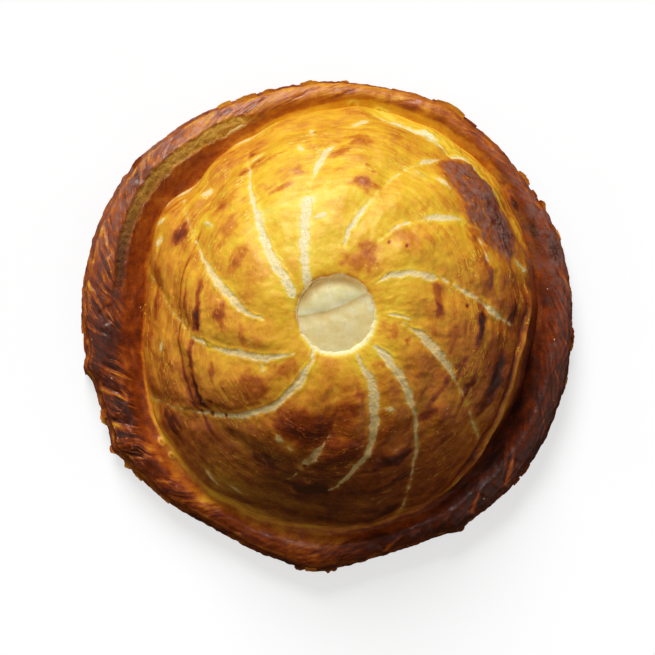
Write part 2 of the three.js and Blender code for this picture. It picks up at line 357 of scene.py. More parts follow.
class CrustRecipe(Recipe):
    """Material of the crust, with the textures that its colours share."""

    def __init__(self, finish: "CrustFinish") -> None:
        """Lays the textures over the piece.

        Args:
            finish: sizes and colours of the crust.
        """
        super().__init__(finish.name)
        self.finish = finish
        flat = self.vector("MULTIPLY", self.vector("SUBTRACT", self.place, finish.axis), (1.0, 1.0, 0.0))
        height = self.level("ShaderNodeSeparateXYZ", {}, {"Vector": self.place}, "Z")
        self.around = self.vector("NORMALIZE", flat)
        self.reach = self.level("ShaderNodeVectorMath", {"operation": "LENGTH"}, {"Vector": flat}, "Value")
        self.down = self.reach - height
        self.bake = self.mark(Mark.BAKE)
        self.stranded = self.mark(Mark.STRAND)
        self.smear = self.stroked(finish.smear)
        self.brush = self.stroked(finish.brush)
        self.bristle = self.stroked(finish.bristle)
        self.strands = self.stroked(finish.strand, self.mark(Mark.LEAN))
        self.blotch = self.cloud(finish.blotch, 5.0, rough=0.6, swirl=0.9)
        self.mottle = self.cloud(finish.mottle, 3.0, rough=0.5)
        self.freckle = self.cloud(finish.freckle, 2.0)
        self.bubble = self.cells(finish.bubble)
        self.leaf_edge = self.contour(self.strands, finish.leaf_line) * self.stranded
        threads = self.contour(self.stroked(finish.thread), finish.thread_line)
        self.thread = threads * self.blotch.step(0.45, 0.6)
        self.past_foot = self.reach.step(*finish.foot)
        self.outer = self.reach.step(*finish.brushed_from) - self.past_foot

    def stroked(self, stroke: Stroke, lean: Any = 0.0) -> Level:
        """Marks that run round the dome, or across the rim where they are wider than long.

        Args:
            stroke: size of one mark.
            lean: angle by which each place is turned round the dome first.

        Returns:
            The marks, from 0 to 1.
        """
        rise = {"Z": self.down * (1.0 / stroke.width)}
        lift = self.node("ShaderNodeCombineXYZ", {}, rise).outputs["Vector"]
        inputs = {"Vector": self.around, "Angle": lean}
        leant = self.node("ShaderNodeVectorRotate", {"rotation_type": "Z_AXIS"}, inputs).outputs["Vector"]
        return self.cloud(1.0, stroke.detail, self.vector("ADD", self.scaled(leant, 1.0 / stroke.arc), lift))

    def baked(self) -> Level:
        """How far each place is baked, with the unevenness of the wash and the dough."""
        lively = 1.0 - 0.6 * self.bake.step(0.46, 0.66) * (1.0 - self.past_foot)
        brushed = (self.brush.step(0.36, 0.64) - 0.5) * self.smear.step(0.40, 0.62)
        strokes = 0.12 * self.outer * brushed * lively
        even = 1.0 - 0.8 * self.bake.step(0.60, 0.80)
        clouds = (0.05 + 0.10 * self.bake) * even * (self.blotch.step(0.40, 0.62) - 0.4)
        spots = 0.22 * lively * (self.smear - 0.5) + 0.17 * (self.mottle - 0.5) + 0.14 * (self.freckle - 0.5)
        fine = (0.12 + 0.16 * self.reach.step(40.0, 62.0)) * lively * (self.bristle - 0.5)
        leaves = 0.7 * (self.strands - 0.5) * self.stranded - 0.22 * self.leaf_edge
        return self.bake + strokes + clouds + spots + fine + leaves - 0.32 * self.outer * self.thread

    def crust(self, baked: Level) -> Socket:
        """Colour of the washed crust, with a painted sheen on dark crust and painted glints as pale specks.
        """
        finish = self.finish
        washed = self.ramp(baked, finish.CRUST)
        clear = (self.mottle + self.bristle + self.freckle).step(1.28, 1.72) - self.leaf_edge
        with_painted_sheen = self.blend(washed, finish.BLOOM, self.mark(Mark.BLOOM) * 1.7 * clear)
        # painted glints: small pale dots in some of the cells
        dot = 1.0 - self.cells(finish.painted_glint_spacing).step(0.04, 0.095)
        chosen = self.cells(finish.painted_glint_spacing, "Color").step(0.6, 0.62)
        return self.blend(with_painted_sheen, finish.PAINTED_GLINT, dot * chosen * 0.7)

    def matte(self) -> Socket:
        """Colour of crust without wash, also laid on the lid's front as painted shade."""
        uneven = 0.34 * (self.freckle - 0.5) + 0.3 * (self.mottle - 0.5)
        return self.ramp(self.bake + uneven, self.finish.MATTE)

    def crumb(self) -> Socket:
        """Colour of bared crumb, warmer where the crust round it is baked, and tan where the vent's back wall
        carries painted shade.
        """
        finish = self.finish
        pale = self.ramp(self.freckle * 0.6 + self.bubble * 0.5, finish.CRUMB)
        warm = self.blend(pale, finish.WARM_CRUMB, 0.6 * self.bake.step(0.16, 0.34))
        return self.blend(warm, finish.TOASTED_CRUMB_AND_PAINTED_SHADE, 0.8 * self.bake.step(0.36, 0.66))

    def torn(self) -> Level:
        """Share of bared crumb, with a ragged edge."""
        ragged = 1.3 * (self.mottle - 0.5) + 1.0 * (self.freckle - 0.5)
        return (self.mark(Mark.OPENING) + ragged).step(-0.4, 0.4)

    def relief(self, raw: Level) -> Level:
        """Fine height of the surface, rougher where it is raw."""
        ribs = 0.5 * self.thread * self.outer + 0.5 * self.bristle
        leaves = self.stranded * (0.9 * self.strands + 0.4 * self.leaf_edge)
        crumbly = (0.5 * self.bubble + 0.4 * self.freckle) * raw
        return 0.6 * self.mottle + 0.4 * self.freckle + ribs + leaves + crumbly


@dataclass(frozen=True)
class CrustFinish:
    """Egg-washed puff pastry, from pale crumb to dark crust."""

    axis: tuple[float, float, float]
    name: str = "baked_pastry"
    blotch: float = 15.0
    mottle: float = 3.0
    freckle: float = 0.8
    bubble: float = 0.9
    # spacing of the painted glints
    painted_glint_spacing: float = 4.0
    smear: Stroke = Stroke(0.16, 6.0)
    brush: Stroke = Stroke(0.30, 3.2)
    thread: Stroke = Stroke(0.26, 5.0)
    bristle: Stroke = Stroke(0.11, 1.2)
    strand: Stroke = Stroke(0.030, 13.0, 1.7)
    relief_depth: float = 0.24
    roughness: float = 0.52
    specular: float = 0.42
    leaf_line: float = 0.022
    thread_line: float = 0.018
    brushed_from: tuple[float, float] = (30.0, 58.0)
    foot: tuple[float, float] = (76.0, 80.0)
    rim_from: tuple[float, float] = (78.0, 84.0)

    CRUST: ClassVar[Stops] = {
        0.00: (0.85, 0.73, 0.36),
        0.12: (0.86, 0.66, 0.10),
        0.24: (0.84, 0.57, 0.035),
        0.34: (0.80, 0.46, 0.020),
        0.44: (0.74, 0.35, 0.016),
        0.53: (0.65, 0.245, 0.012),
        0.62: (0.53, 0.155, 0.008),
        0.70: (0.40, 0.088, 0.005),
        0.78: (0.27, 0.045, 0.004),
        0.86: (0.15, 0.022, 0.003),
        0.93: (0.085, 0.013, 0.003),
        1.00: (0.045, 0.009, 0.003),
    }
    MATTE: ClassVar[Stops] = {
        0.20: (0.84, 0.56, 0.19),
        0.34: (0.62, 0.34, 0.045),
        0.48: (0.41, 0.195, 0.016),
        0.64: (0.22, 0.09, 0.010),
        0.86: (0.09, 0.022, 0.005),
    }
    CRUMB: ClassVar[Stops] = {0.20: (0.50, 0.33, 0.10), 0.38: (0.78, 0.65, 0.31), 0.70: (0.88, 0.80, 0.50)}
    WARM_CRUMB: ClassVar[Colour] = (0.82, 0.56, 0.19)
    # toasted crumb, also the tan of the painted shade on the vent's back wall
    TOASTED_CRUMB_AND_PAINTED_SHADE: ClassVar[Colour] = (0.70, 0.48, 0.17)
    # lavender painted sheen, a reflection laid on dark crust as colour
    BLOOM: ClassVar[Colour] = (0.27, 0.13, 0.10)
    # colour of the painted glints
    PAINTED_GLINT: ClassVar[Colour] = (0.86, 0.68, 0.38)

    def make(self) -> bpy.types.Material:
        """Builds the material."""
        recipe = CrustRecipe(self)
        baked = recipe.baked()
        torn = recipe.torn()
        dull = recipe.mark(Mark.DULL_AND_SHADE)
        # the matte colour is unwashed crust on the rim and painted shade on the lid's front
        skin = recipe.blend(recipe.crust(baked), recipe.matte(), dull)
        raw = torn + dull * recipe.reach.step(*self.rim_from)
        shine = 0.16 * baked.step(0.5, 0.8)
        return recipe.close(
            {
                "Base Color": recipe.blend(skin, recipe.crumb(), torn),
                "Roughness": self.roughness - shine + 0.3 * (recipe.mottle - 0.5) + 0.3 * raw,
                "Specular IOR Level": self.specular,
                "Normal": recipe.bump(recipe.relief(raw), self.relief_depth, 0.8),
            }
        )


@dataclass(frozen=True)
class PotatoFinish:
    """Moist cooked potato with fine lines and a browned edge."""

    name: str = "cooked_potato"
    lump: float = 4.5
    fleck: float = 0.6
    fibre: tuple[float, float, float] = (0.17, 0.035, 0.1)
    relief_depth: float = 0.16
    roughness: float = 0.3
    glow_through: float = 0.45
    glow_radius: Colour = (0.0030, 0.0022, 0.0010)

    FLESH: ClassVar[Stops] = {0.3: (0.82, 0.65, 0.28), 0.5: (0.88, 0.72, 0.35), 0.7: (0.92, 0.79, 0.45)}
    VEIN: ClassVar[Colour] = (0.94, 0.88, 0.60)
    SHADED: ClassVar[Colour] = (0.52, 0.29, 0.06)
    BROWNED: ClassVar[Colour] = (0.84, 0.58, 0.15)

    def make(self) -> bpy.types.Material:
        """Builds the material."""
        recipe = Recipe(self.name)
        cloud = recipe.cloud(self.lump, 2.0)
        fine = recipe.cloud(self.fleck, 2.0)
        drawn = recipe.vector("MULTIPLY", recipe.place, self.fibre)
        lines = recipe.contour(recipe.cloud(1.0, 0.6, drawn), 0.012) * cloud.step(0.45, 0.58)
        edge = (recipe.mark(Mark.BAKE) + 0.8 * (fine - 0.5)).step(0.5, 1.0)
        veined = recipe.blend(recipe.ramp(cloud, self.FLESH), self.VEIN, lines * 0.6)
        # painted shade where the vent's back wall and the upper slice's edge shade the slice
        shaded = recipe.blend(veined, self.SHADED, 0.8 * recipe.mark(Mark.DULL_AND_SHADE))
        return recipe.close(
            {
                "Base Color": recipe.blend(shaded, self.BROWNED, 0.9 * edge),
                "Roughness": self.roughness + 0.2 * fine,
                "Subsurface Weight": self.glow_through,
                "Subsurface Radius": self.glow_radius,
                "Subsurface Scale": 1.0,
                "Normal": recipe.bump(lines * 0.6 + fine * 0.25 + cloud, self.relief_depth, 0.7),
            }
        )


@dataclass(frozen=True)
class FillingFinish:
    """Creamy filling, lumpy and a little moist."""

    name: str = "creamy_filling"
    lump: float = 5.0
    fleck: float = 0.8
    relief_depth: float = 0.8
    roughness: float = 0.4

    CREAM: ClassVar[Stops] = {0.3: (0.58, 0.44, 0.18), 0.6: (0.74, 0.62, 0.32), 0.8: (0.82, 0.74, 0.46)}

    def make(self) -> bpy.types.Material:
        """Builds the material."""
        recipe = Recipe(self.name)
        lumps = recipe.cloud(self.lump, 4.0)
        fine = recipe.cloud(self.fleck, 2.0)
        return recipe.close(
            {
                "Base Color": recipe.ramp(lumps, self.CREAM),
                "Roughness": self.roughness + 0.3 * fine,
                "Normal": recipe.bump(lumps + 0.3 * fine, self.relief_depth),
            }
        )


@dataclass(frozen=True)
class FloorFinish:
    """Plain matt white table top, lit from below as well so that shadows on it stay light."""

    name: str = "white_table"
    cloud: float = 40.0
    glow: float = 0.66
    roughness: float = 0.9

    WHITE: ClassVar[Stops] = {0.3: (0.38, 0.385, 0.395), 0.7: (0.385, 0.39, 0.40)}

    def make(self) -> bpy.types.Material:
        """Builds the material."""
        recipe = Recipe(self.name)
        return recipe.close(
            {
                "Base Color": recipe.ramp(recipe.cloud(self.cloud, 2.0), self.WHITE),
                "Roughness": self.roughness,
                "Specular IOR Level": 0.0,
                "Emission Color": (1.0, 1.0, 1.0, 1.0),
                "Emission Strength": self.glow,
            }
        )


class Blank:
    """Closed shape spun from a section, whose points are then moved to their places."""

    SECTORS = 20

    def __init__(self, corners: Sequence[tuple[float, float]], cuts: Sequence[int], columns: int) -> None:
        """Spins a section about the Z axis.

        Args:
            corners: radius and height of the section's corners in order.
            cuts: cuts of the side that follows each corner. A closed section has as many as corners.
            columns: steps of the spin, a multiple of the sectors.
        """
        shape = bmesh.new()
        verts = [shape.verts.new((radius, 0.0, height)) for radius, height in corners]
        ends = verts[1:] + verts[:1]
        sides = [shape.edges.new(pair) for pair, _ in zip(zip(verts, ends), cuts)]
        for side, cut in zip(sides, cuts):
            bmesh.ops.bisect_edges(shape, edges=[side], cuts=cut)
        around_z = {"cent": (0.0, 0.0, 0.0), "axis": (0.0, 0.0, 1.0)}
        sector = math.tau / self.SECTORS
        section = shape.verts[:] + shape.edges[:]
        bmesh.ops.spin(shape, geom=section, angle=sector, steps=columns // self.SECTORS, **around_z)
        wedge = shape.verts[:] + shape.edges[:] + shape.faces[:]
        copies = self.SECTORS - 1
        bmesh.ops.spin(shape, geom=wedge, angle=sector * copies, steps=copies, use_duplicate=True, **around_z)
        bmesh.ops.remove_doubles(shape, verts=shape.verts[:], dist=1e-5)
        bmesh.ops.recalc_face_normals(shape, faces=shape.faces[:])
        self.mesh = bpy.data.meshes.new("blank")
        shape.to_mesh(self.mesh)
        shape.free()
        places = np.empty(len(self.mesh.vertices) * 3)
        self.mesh.vertices.foreach_get("co", places)
        x, y, self.height = places.reshape(-1, 3).T
        self.radius = np.hypot(x, y)
        self.angle = np.degrees(np.arctan2(y, x))

    def piece(self, name: str, points: Array, finish: bpy.types.Material) -> bpy.types.Object:
        """Moves the points to their places and makes the piece.

        Args:
            name: the piece's name.
            points: places of the points in millimetres, one row for each.
            finish: the piece's material.

        Returns:
            The piece, in the scene.
        """
        self.mesh.vertices.foreach_set("co", (points * MM).ravel())
        self.mesh.name = name
        self.mesh.update()
        return piece_of(self.mesh, name, finish)

    def carry(self, mark: Mark, values: Array) -> None:
        """Stores a value on each point for the finish."""
        layer = self.mesh.attributes.new(mark.value, "FLOAT", "POINT")
        layer.data.foreach_set("value", values.astype(np.float32))


def piece_of(mesh: bpy.types.Mesh, name: str, finish: bpy.types.Material) -> bpy.types.Object:
    """Puts a mesh into the scene as a smooth piece that rides on the pie.

    Args:
        mesh: the finished mesh.
        name: the piece's name.
        finish: the piece's material.

    Returns:
        The piece.
    """
    mesh.shade_smooth()
    mesh.set_sharp_from_angle(angle=CRISP_CORNER)
    mesh.materials.append(finish)
    piece = bpy.data.objects.new(name, mesh)
    bpy.context.scene.collection.objects.link(piece)
    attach(piece, BODY)
    return piece


@dataclass(frozen=True)
class Swell:
    """Bulge of an outline, or a dent where it is below 0, at an angle."""

    angle: float
    spread: float
    by: float

    def at(self, angle: Array) -> Array:
        """How far the outline bulges at each angle."""
        return self.by * near(angle, self.angle, self.spread)


@dataclass(frozen=True)
class Dome:
    """Form of the mound that the lid, the filling and the slices follow."""

    axis: tuple[float, float] = (3.48, 4.68)
    crown_height: float = 70.0
    crown_dip: float = 2.1
    dip_width: float = 18.0
    groove_height: float = 9.5
    base_thickness: float = 4.5
    lid_thickness: float = 3.2
    foot_radius: float = 82.0
    wall_at_foot: float = 4.4
    vent_radius: float = 15.0
    vent_taper: tuple[float, float] = (1.1, 0.3)
    section: float = 1.04
    spread_from: float = 64.0
    spreads: tuple[Swell, ...] = (Swell(157, 12, 3.8), Swell(147, 8, 3.4), Swell(218, 26, 3.4))
    ripples: tuple[tuple[float, float, float], ...] = ((9, 0.4, 1.0), (17, 0.3, 2.2), (31, 0.2, 0.0))

    @property
    def curve(self) -> float:
        """Radius of the dome's section."""
        return self.foot_radius * self.section

    def spread(self, angle: Array) -> Array:
        """How far the foot spreads past its plain oval at the left."""
        return sum(swell.at(angle) for swell in self.spreads)

    def foot(self, angle: Array) -> Array:
        """Radius of the foot, a little longer to the back and front than across, and rippled."""
        turn = np.radians(angle)
        once = 2.2 * np.cos(turn) - 1.2 * np.sin(turn)
        twice = -2.9 * np.cos(2.0 * turn) + 1.9 * np.sin(2.0 * turn)
        ripple = sum(size * np.sin(count * turn + shift) for count, size, shift in self.ripples)
        return self.foot_radius + once + twice + ripple + self.spread(angle)

    def rise(self, share: Array) -> Array:
        """Section of the dome: 1 on the axis and 0 at the foot, where the share is 1."""
        cut = math.sqrt(self.section**2 - 1.0)
        rise = np.sqrt(self.section**2 - np.clip(share, 0.0, 1.0) ** 2)
        return (rise - cut) / (self.section - cut)

    def slope(self, radius: Any) -> Any:
        """Tilt of the lid at a radius, in radians."""
        return np.arcsin(np.clip(radius / self.curve, 0.0, 1.0))

    def reach(self, radius: Array, angle: Array) -> Array:
        """Distance from the axis to the lid's point at a radius of the round dome."""
        share = (radius - self.vent_radius) / (self.foot_radius - self.vent_radius)
        spread = self.spread(angle)
        oval = mix(self.vent_radius, self.foot(angle) - spread, share)
        return oval + spread * smooth(radius, self.spread_from, self.foot_radius)

    def height(self, radius: Array) -> Array:
        """Height of the lid at a radius of the round dome, with its crown flattened round the vent."""
        close = np.clip(1.0 - (radius - self.vent_radius) / self.dip_width, 0.0, 1.0)
        round_dome = mix(self.groove_height, self.crown_height, self.rise(radius / self.foot_radius))
        return round_dome - self.crown_dip * close**2

    def underside(self, x: Array, y: Array) -> Array:
        """Height of the lid's underside over a place measured from the axis."""
        share = np.hypot(x, y) / (self.foot(np.degrees(np.arctan2(y, x))) - self.wall_at_foot)
        rise = self.crown_height - self.lid_thickness - self.base_thickness
        return self.base_thickness + rise * self.rise(share)

    def shaded_wall(self, x: Array, y: Array) -> Array:
        """Share of shade on the vent's wall in the direction of a place, the most at the back."""
        return smooth((y - 0.3 * x) / np.maximum(np.hypot(x, y), 1.0), -0.7, 0.3)


@dataclass(frozen=True)
class Score:
    """Curved cut in the lid: radius, angle and width of the bared crumb at marks from the vent outwards."""

    marks: tuple[tuple[float, float, float], ...]

    @property
    def curve(self) -> Array:
        """Smooth line along the marks, as a polynomial of the radius."""
        radii, angles, _ = zip(*self.marks)
        return np.polyfit(radii, angles, 3)

    def away(self, angle: Array, radius: Array, slope: Array) -> Array:
        """Distance from the cut's middle along the surface, positive counter-clockwise."""
        lean = np.radians(np.polyval(np.polyder(self.curve), radius)) * radius * np.cos(slope)
        across = np.radians(turned(angle, np.polyval(self.curve, radius))) * radius
        return across / np.sqrt(1.0 + lean**2)

    def half_width(self, radius: Array) -> Array:
        """Half the opening's width, below 0 past its ends and where it stayed shut."""
        radii, _, widths = zip(*self.marks)
        past = np.maximum(radii[0] - radius, radius - radii[-1])
        return np.interp(radius, radii, 0.5 * np.array(widths) - 0.25) - np.maximum(past, 0.0)

    def creased(self, radius: Array) -> Array:
        """How far the cut marks the crust at a radius, open or shut."""
        start, end = self.marks[0][0], self.marks[-1][0]
        return between(radius, start - 1.0, start + 3.0, end - 3.0, end + 1.0)


@dataclass(frozen=True)
class Side:
    """Part of the lid round an angle, which sets in between two radii, and how much more it baked."""

    angle: float
    spread: float
    start: float
    full: float
    amount: float = 0.0

    def share(self, angle: Array, radius: Array) -> Array:
        """Share of this part at each place."""
        return near(angle, self.angle, self.spread) * smooth(radius, self.start, self.full)


@dataclass(frozen=True)
class Patch:
    """Spot of the crust that baked more, or less where the amount is below 0, and how soft its edge is."""

    angle: float
    radius: float
    along: float
    across: float
    amount: float
    soft: float = 0.85

    def share(self, along: Array, out: Array) -> Array:
        """Share of the spot at distances from its middle."""
        away = np.hypot(along / self.along, out / self.across)
        return 1.0 - smooth(away, 0.9 - 0.5 * self.soft, 0.9 + 0.5 * self.soft)


@dataclass(frozen=True)
class Tear:
    """Spot where the skin tore off the crumb: its place, length, width and turn from the radius."""

    angle: float
    radius: float
    length: float
    width: float
    turn: float

    def inside(self, along: Array, out: Array) -> Array:
        """How far inside the tear a place at distances from its middle lies, in millimetres."""
        turn = math.radians(self.turn)
        length = (out * math.cos(turn) + along * math.sin(turn)) / self.length
        width = (along * math.cos(turn) - out * math.sin(turn)) / self.width
        return self.width * (1.0 - np.hypot(length, width))


@dataclass(frozen=True)
class Blister:
    """Bubble of the crust: its place, its radius and its height, or a pinhole's depth below 0."""

    angle: float
    radius: float
    size: float
    height: float


class LidSkin:
    """Surface of the lid while it is dressed: where its points lie, their relief, openings and bake."""

    def __init__(self, blank: Blank, dome: Dome) -> None:
        """Lays the bare lid out.

        Args:
            blank: section from radius 1 at the vent to 2 at the foot, and from height 0 inside to 1 outside.
            dome: form that the lid follows.
        """
        self.dome = dome
        self.way = blank.radius - 1.0
        self.face = blank.height
        self.angle = blank.angle
        self.turn = np.radians(self.angle)
        flattest, steepest = dome.slope(np.array((dome.vent_radius, dome.foot_radius)))
        self.slope = mix(flattest, steepest, self.way)
        self.down = dome.curve * self.slope
        self.radius = dome.curve * np.sin(self.slope)
        self.from_vent = self.radius - dome.vent_radius
        self.around = outward(self.turn)
        self.ragged_vent = 0.7 * grain(self.around * dome.vent_radius, 5.0, 3, 6.2)
        reach = dome.reach(self.radius, self.angle) + self.ragged_vent * np.exp(-self.from_vent / 3.0)
        self.places = self.around * reach[:, None]
        self.places[:, 2] = dome.height(self.radius)
        self.shaded_wall = dome.shaded_wall(self.around[:, 0], self.around[:, 1])
        # painted shade: the vent's wall is baked darker towards its shaded back
        self.wall_bake_with_painted_shade = 0.1 + 0.5 * self.shaded_wall
        self.lift = np.zeros_like(self.radius)
        self.opening = np.full_like(self.radius, SHUT)
        self.baked = np.zeros_like(self.radius)
        self.washed = np.ones_like(self.radius)
        self.dull = np.zeros_like(self.radius)
        self.bloom = np.zeros_like(self.radius)

    def grain(self, size: float, octaves: int, shift: float) -> Array:
        """Smooth unevenness over the lid."""
        return grain(self.places, size, octaves, shift)

    def out_from(self, radius: Any) -> Array:
        """Distance down the surface from a radius."""
        return self.down - self.dome.curve * self.dome.slope(radius)

    def local(self, spot: Any) -> tuple[Array, Array]:
        """Distances along the surface from a spot, round the dome and down it."""
        return np.radians(turned(self.angle, spot.angle)) * spot.radius, self.out_from(spot.radius)

    def share(self, blister: Blister) -> Array:
        """Share of a bubble or pinhole at each point."""
        return bell(np.hypot(*self.local(blister)), blister.size)

    def open_up(self, inside: Array) -> None:
        """Adds an opening, given how far each point lies inside it."""
        self.opening = np.maximum(self.opening, inside)


@dataclass
class Lid:
    """Domed lid with its vent, its spiral scores and its egg wash."""

    dome: Dome
    columns: int = 720
    rings: int = 126
    score_depth: float = 0.24
    score_lip: float = 0.14
    crease_depth: float = 0.26
    puff: float = 1.5
    puff_spread: float = 6.0
    vent_round: tuple[float, float] = (1.2, 0.85)
    vent_sink: float = 1.9
    skin_step: float = 0.6
    leaf: float = 4.4
    fold_height: float = 2.1
    fold_width: float = 1.75
    foot_line: float = 80.6
    light_from: float = 108.0
    swell_height: float = 0.9
    lump_height: float = 0.36
    streak_height: float = 0.22
    leaf_depth: float = 0.16
    fold_crease: float = 0.3
    scorched_height: float = 0.3
    fold_bake: float = 0.54
    below_fold_bake: float = 0.93
    pinhole_bake: float = 0.95
    window_bake: float = 0.36
    peeled: Span = (14.0, 24.0, 76.0, 84.0)
    bared_foot: Span = (100.0, 108.0, 146.0, 156.0)
    folded: Span = (-70.0, -56.0, -2.0, 12.0)
    below_fold: Span = (-56.0, -40.0, -6.0, 6.0)
    creased: Span = (140.0, 152.0, 214.0, 245.0)
    scorched: Span = (2.0, 18.0, 58.0, 68.0)
    blisters: int = 120
    seed: int = 5
    scores: tuple[Score, ...] = (
        Score(((19, 36.5, 0.8), (24, 35, 2.2), (29, 33, 2.4), (35, 28, 2.8), (40, 21.5, 3.0), (42, 19, 0),
               (44, 15, 2.6), (46, 13, 0), (51, 8, 2.6), (54, 7.5, 2.2), (57, 5.5, 0.6), (60, 3, 3.2),
               (63, 1, 3.0), (66, -1, 1.0), (69, -3.5, 1.6), (71, -5, 0))),
        Score(((31, 62, 0), (37, 57, 0.3), (40, 54, 1.6), (43.5, 51, 1.6), (46, 49, 0), (49, 47, 1.0),
               (53, 43.5, 3.0), (57, 39.5, 2.4), (60, 35.5, 0.6), (64, 31, 0.5), (66, 29, 0))),
        Score(((25, 84, 0.5), (29, 82, 1.4), (34, 79.3, 2.0), (39, 76.5, 2.2), (43, 73.5, 1.8), (45, 72.5, 0),
               (50, 71.5, 0), (52, 70.5, 1.1), (55, 68.5, 0.6), (57.5, 66.5, 1.2), (60, 64.5, 0),
               (64, 61, 1.0), (68, 59, 2.4), (71, 57, 1.2), (73, 56, 0))),
        Score(((16, 134, 4.0), (19, 128, 4.0), (23, 121, 3.6), (28, 117, 3.8), (34, 112, 4.0), (39, 108, 4.0),
               (44, 104.5, 4.2), (46.5, 103, 3.0), (48, 102, 0), (53, 100, 0.4), (55.5, 98.5, 2.0),
               (59, 96.5, 3.0), (62, 94.5, 2.6), (65, 92, 2.6), (66.5, 90, 0))),
        Score(((17.5, 155, 2.6), (20, 151, 3.6), (24, 147, 3.8), (29, 142.5, 3.8), (35, 138, 4.0),
               (41, 134, 4.0), (47, 131, 3.2), (53, 127, 2.6), (58, 124.5, 2.2), (62, 123, 1.6),
               (66, 121.5, 1.2), (70, 120.5, 1.0), (74, 119, 0.8), (75.5, 118, 0))),
        Score(((27, 187, 0), (31, 184.5, 1.6), (35, 181, 2.0), (37, 178, 3.2), (41, 173, 3.8), (46, 168, 3.8),
               (50, 164, 3.2), (54, 161, 3.0), (57.5, 159, 2.6), (60.5, 158, 1.4), (64, 155.5, 1.0),
               (67, 152.5, 0.6), (70, 149, 0.8), (77, 143, 0.8), (82, 138, 0.4))),
        Score(((22, 223, 0.6), (26, 217.5, 1.6), (31, 212, 2.4), (36, 207, 3.0), (41, 203, 3.2),
               (46.5, 199, 2.6), (50, 197, 1.6), (53.5, 193.5, 4.2), (57, 190.5, 1.6), (61.5, 186.5, 1.0),
               (67.5, 180, 0.9), (72, 176, 0.8), (75, 172, 0.5), (80, 167, 0.5))),
        Score(((15.5, 240, 1.4), (20, 242, 1.4), (24, 242.3, 2.2), (28, 242, 3.2), (33, 240, 3.2),
               (37, 238.5, 3.0), (41, 236.5, 3.2), (46.5, 232, 3.0), (52.5, 227, 2.6), (57.5, 223.5, 2.2),
               (62, 220, 2.6), (65.5, 215.5, 2.2), (67, 214, 0.4), (69, 212.5, 0.5), (75, 209, 1.0),
               (78.5, 205.5, 1.0), (81, 203, 0))),
        Score(((27, 268, 0), (45, 267, 0), (49, 265, 0.5), (51, 263.5, 3.2), (55, 261, 3.6), (58.5, 258, 2.8),
               (60, 256.5, 0.6), (64, 254, 0.5), (67, 252.5, 0))),
        Score(((17, 299, 0.6), (19.5, 298, 1.6), (24, 297, 2.4), (29, 296, 3.2), (35, 294, 3.8),
               (41, 292, 4.0), (46, 289, 3.2), (50, 284.5, 2.6), (56.5, 278, 2.6), (62, 272.5, 2.2),
               (65.5, 268.5, 1.2), (67, 267, 0))),
        Score(((19, 320.5, 1.0), (22, 320, 2.8), (27, 319.5, 4.2), (29, 319, 3.2), (32, 317.5, 3.4),
               (36, 315, 3.4), (41, 312.2, 3.0), (46, 310, 2.2), (51, 306.3, 2.0), (56.5, 303, 2.2),
               (61.5, 300, 1.8), (67, 296, 1.0), (75, 291.5, 0.8), (76.5, 290.5, 1.4), (79, 288.5, 0.7),
               (82, 286, 0))),
        Score(((26, 351, 0.6), (29.5, 350, 1.4), (33.5, 347.5, 2.6), (37.5, 343.5, 4.2), (42, 339, 4.4),
               (47, 335, 3.2), (51, 333, 2.0), (54.5, 331, 0.9), (58.5, 328, 0.5), (64.5, 325, 0.6),
               (68, 323, 1.6), (71, 321, 2.0), (74, 319.5, 1.4), (75.5, 318.5, 0))),
        Score(((20.5, 360, 0.8), (24, 359, 1.4), (28, 357, 1.0), (30, 355.5, 0))),
    )
    tears: tuple[Tear, ...] = rows(
        Tear,
        (98.5, 38.2, 2.2, 1.0, 90), (102, 65.5, 1.8, 1.0, 30), (97.5, 72, 3.2, 0.9, 0),
        (82.5, 74.2, 3.6, 1.2, -45), (117, 70.5, 2.6, 1.0, 90), (136.5, 73.4, 2.6, 1.4, 60),
        (157.5, 77.0, 2.2, 1.5, 60), (152, 78.3, 2.2, 1.4, 40), (144.5, 64.5, 2.2, 0.6, 0),
        (50.5, 63.6, 3.4, 0.9, 90), (20.5, 61.6, 2.0, 0.7, 90), (26.5, 62.5, 1.8, 0.7, 90),
        (59, 61.5, 1.8, 0.6, 90), (14.5, 76.0, 3.6, 0.9, -35), (190.5, 72.5, 1.8, 1.0, 60),
        (233, 75.8, 3.6, 0.9, 75), (240, 74.6, 3.0, 0.8, 75), (245.5, 50.5, 1.8, 1.0, 60),
        (251, 52.0, 1.4, 0.7, 60), (299.5, 41.0, 1.6, 1.0, 40), (216, 35.6, 1.8, 0.7, 75),
    )
    pinholes: tuple[Blister, ...] = rows(
        Blister,
        (3.5, 51.0, 0.8, -0.9), (222.6, 58.2, 0.6, -0.7), (218.6, 62.6, 0.8, -0.8), (215.6, 65.3, 0.6, -0.6),
        (258.4, 58.2, 0.6, -0.6), (215, 59.4, 0.7, -0.5), (53.5, 33.6, 0.7, -0.3), (44, 36.4, 0.6, -0.3),
        (30, 70.2, 0.7, -0.5), (96.5, 71.2, 0.5, -0.4),
    )
    windows: tuple[Blister, ...] = (Blister(194.5, 52.6, 1.5, 0.35), Blister(192.0, 53.4, 1.5, 0.35))
    # painted shadow of two narrow gaps at the foot: angle and length
    painted_shadow_slits: tuple[tuple[float, float], ...] = ((265.0, 2.6), (279.5, 0.8))
    # the first row darkens the front, away from the light, as painted shade
    sides: tuple[Side, ...] = rows(
        Side,
        (268, 34, 36, 54, 0.17), (324, 20, 45, 62, -0.03), (342, 14, 56, 66, 0.08), (214, 15, 44, 60, 0.08),
        (170, 26, 26, 36, 0.05), (265, 24, 34, 26, 0.06), (0, 18, 67, 73, 0.08),
    )
    smeared: Side = Side(256, 42, 44, 52)
    # front of the lid that takes painted shade
    shade: Side = Side(256, 36, 46, 60)
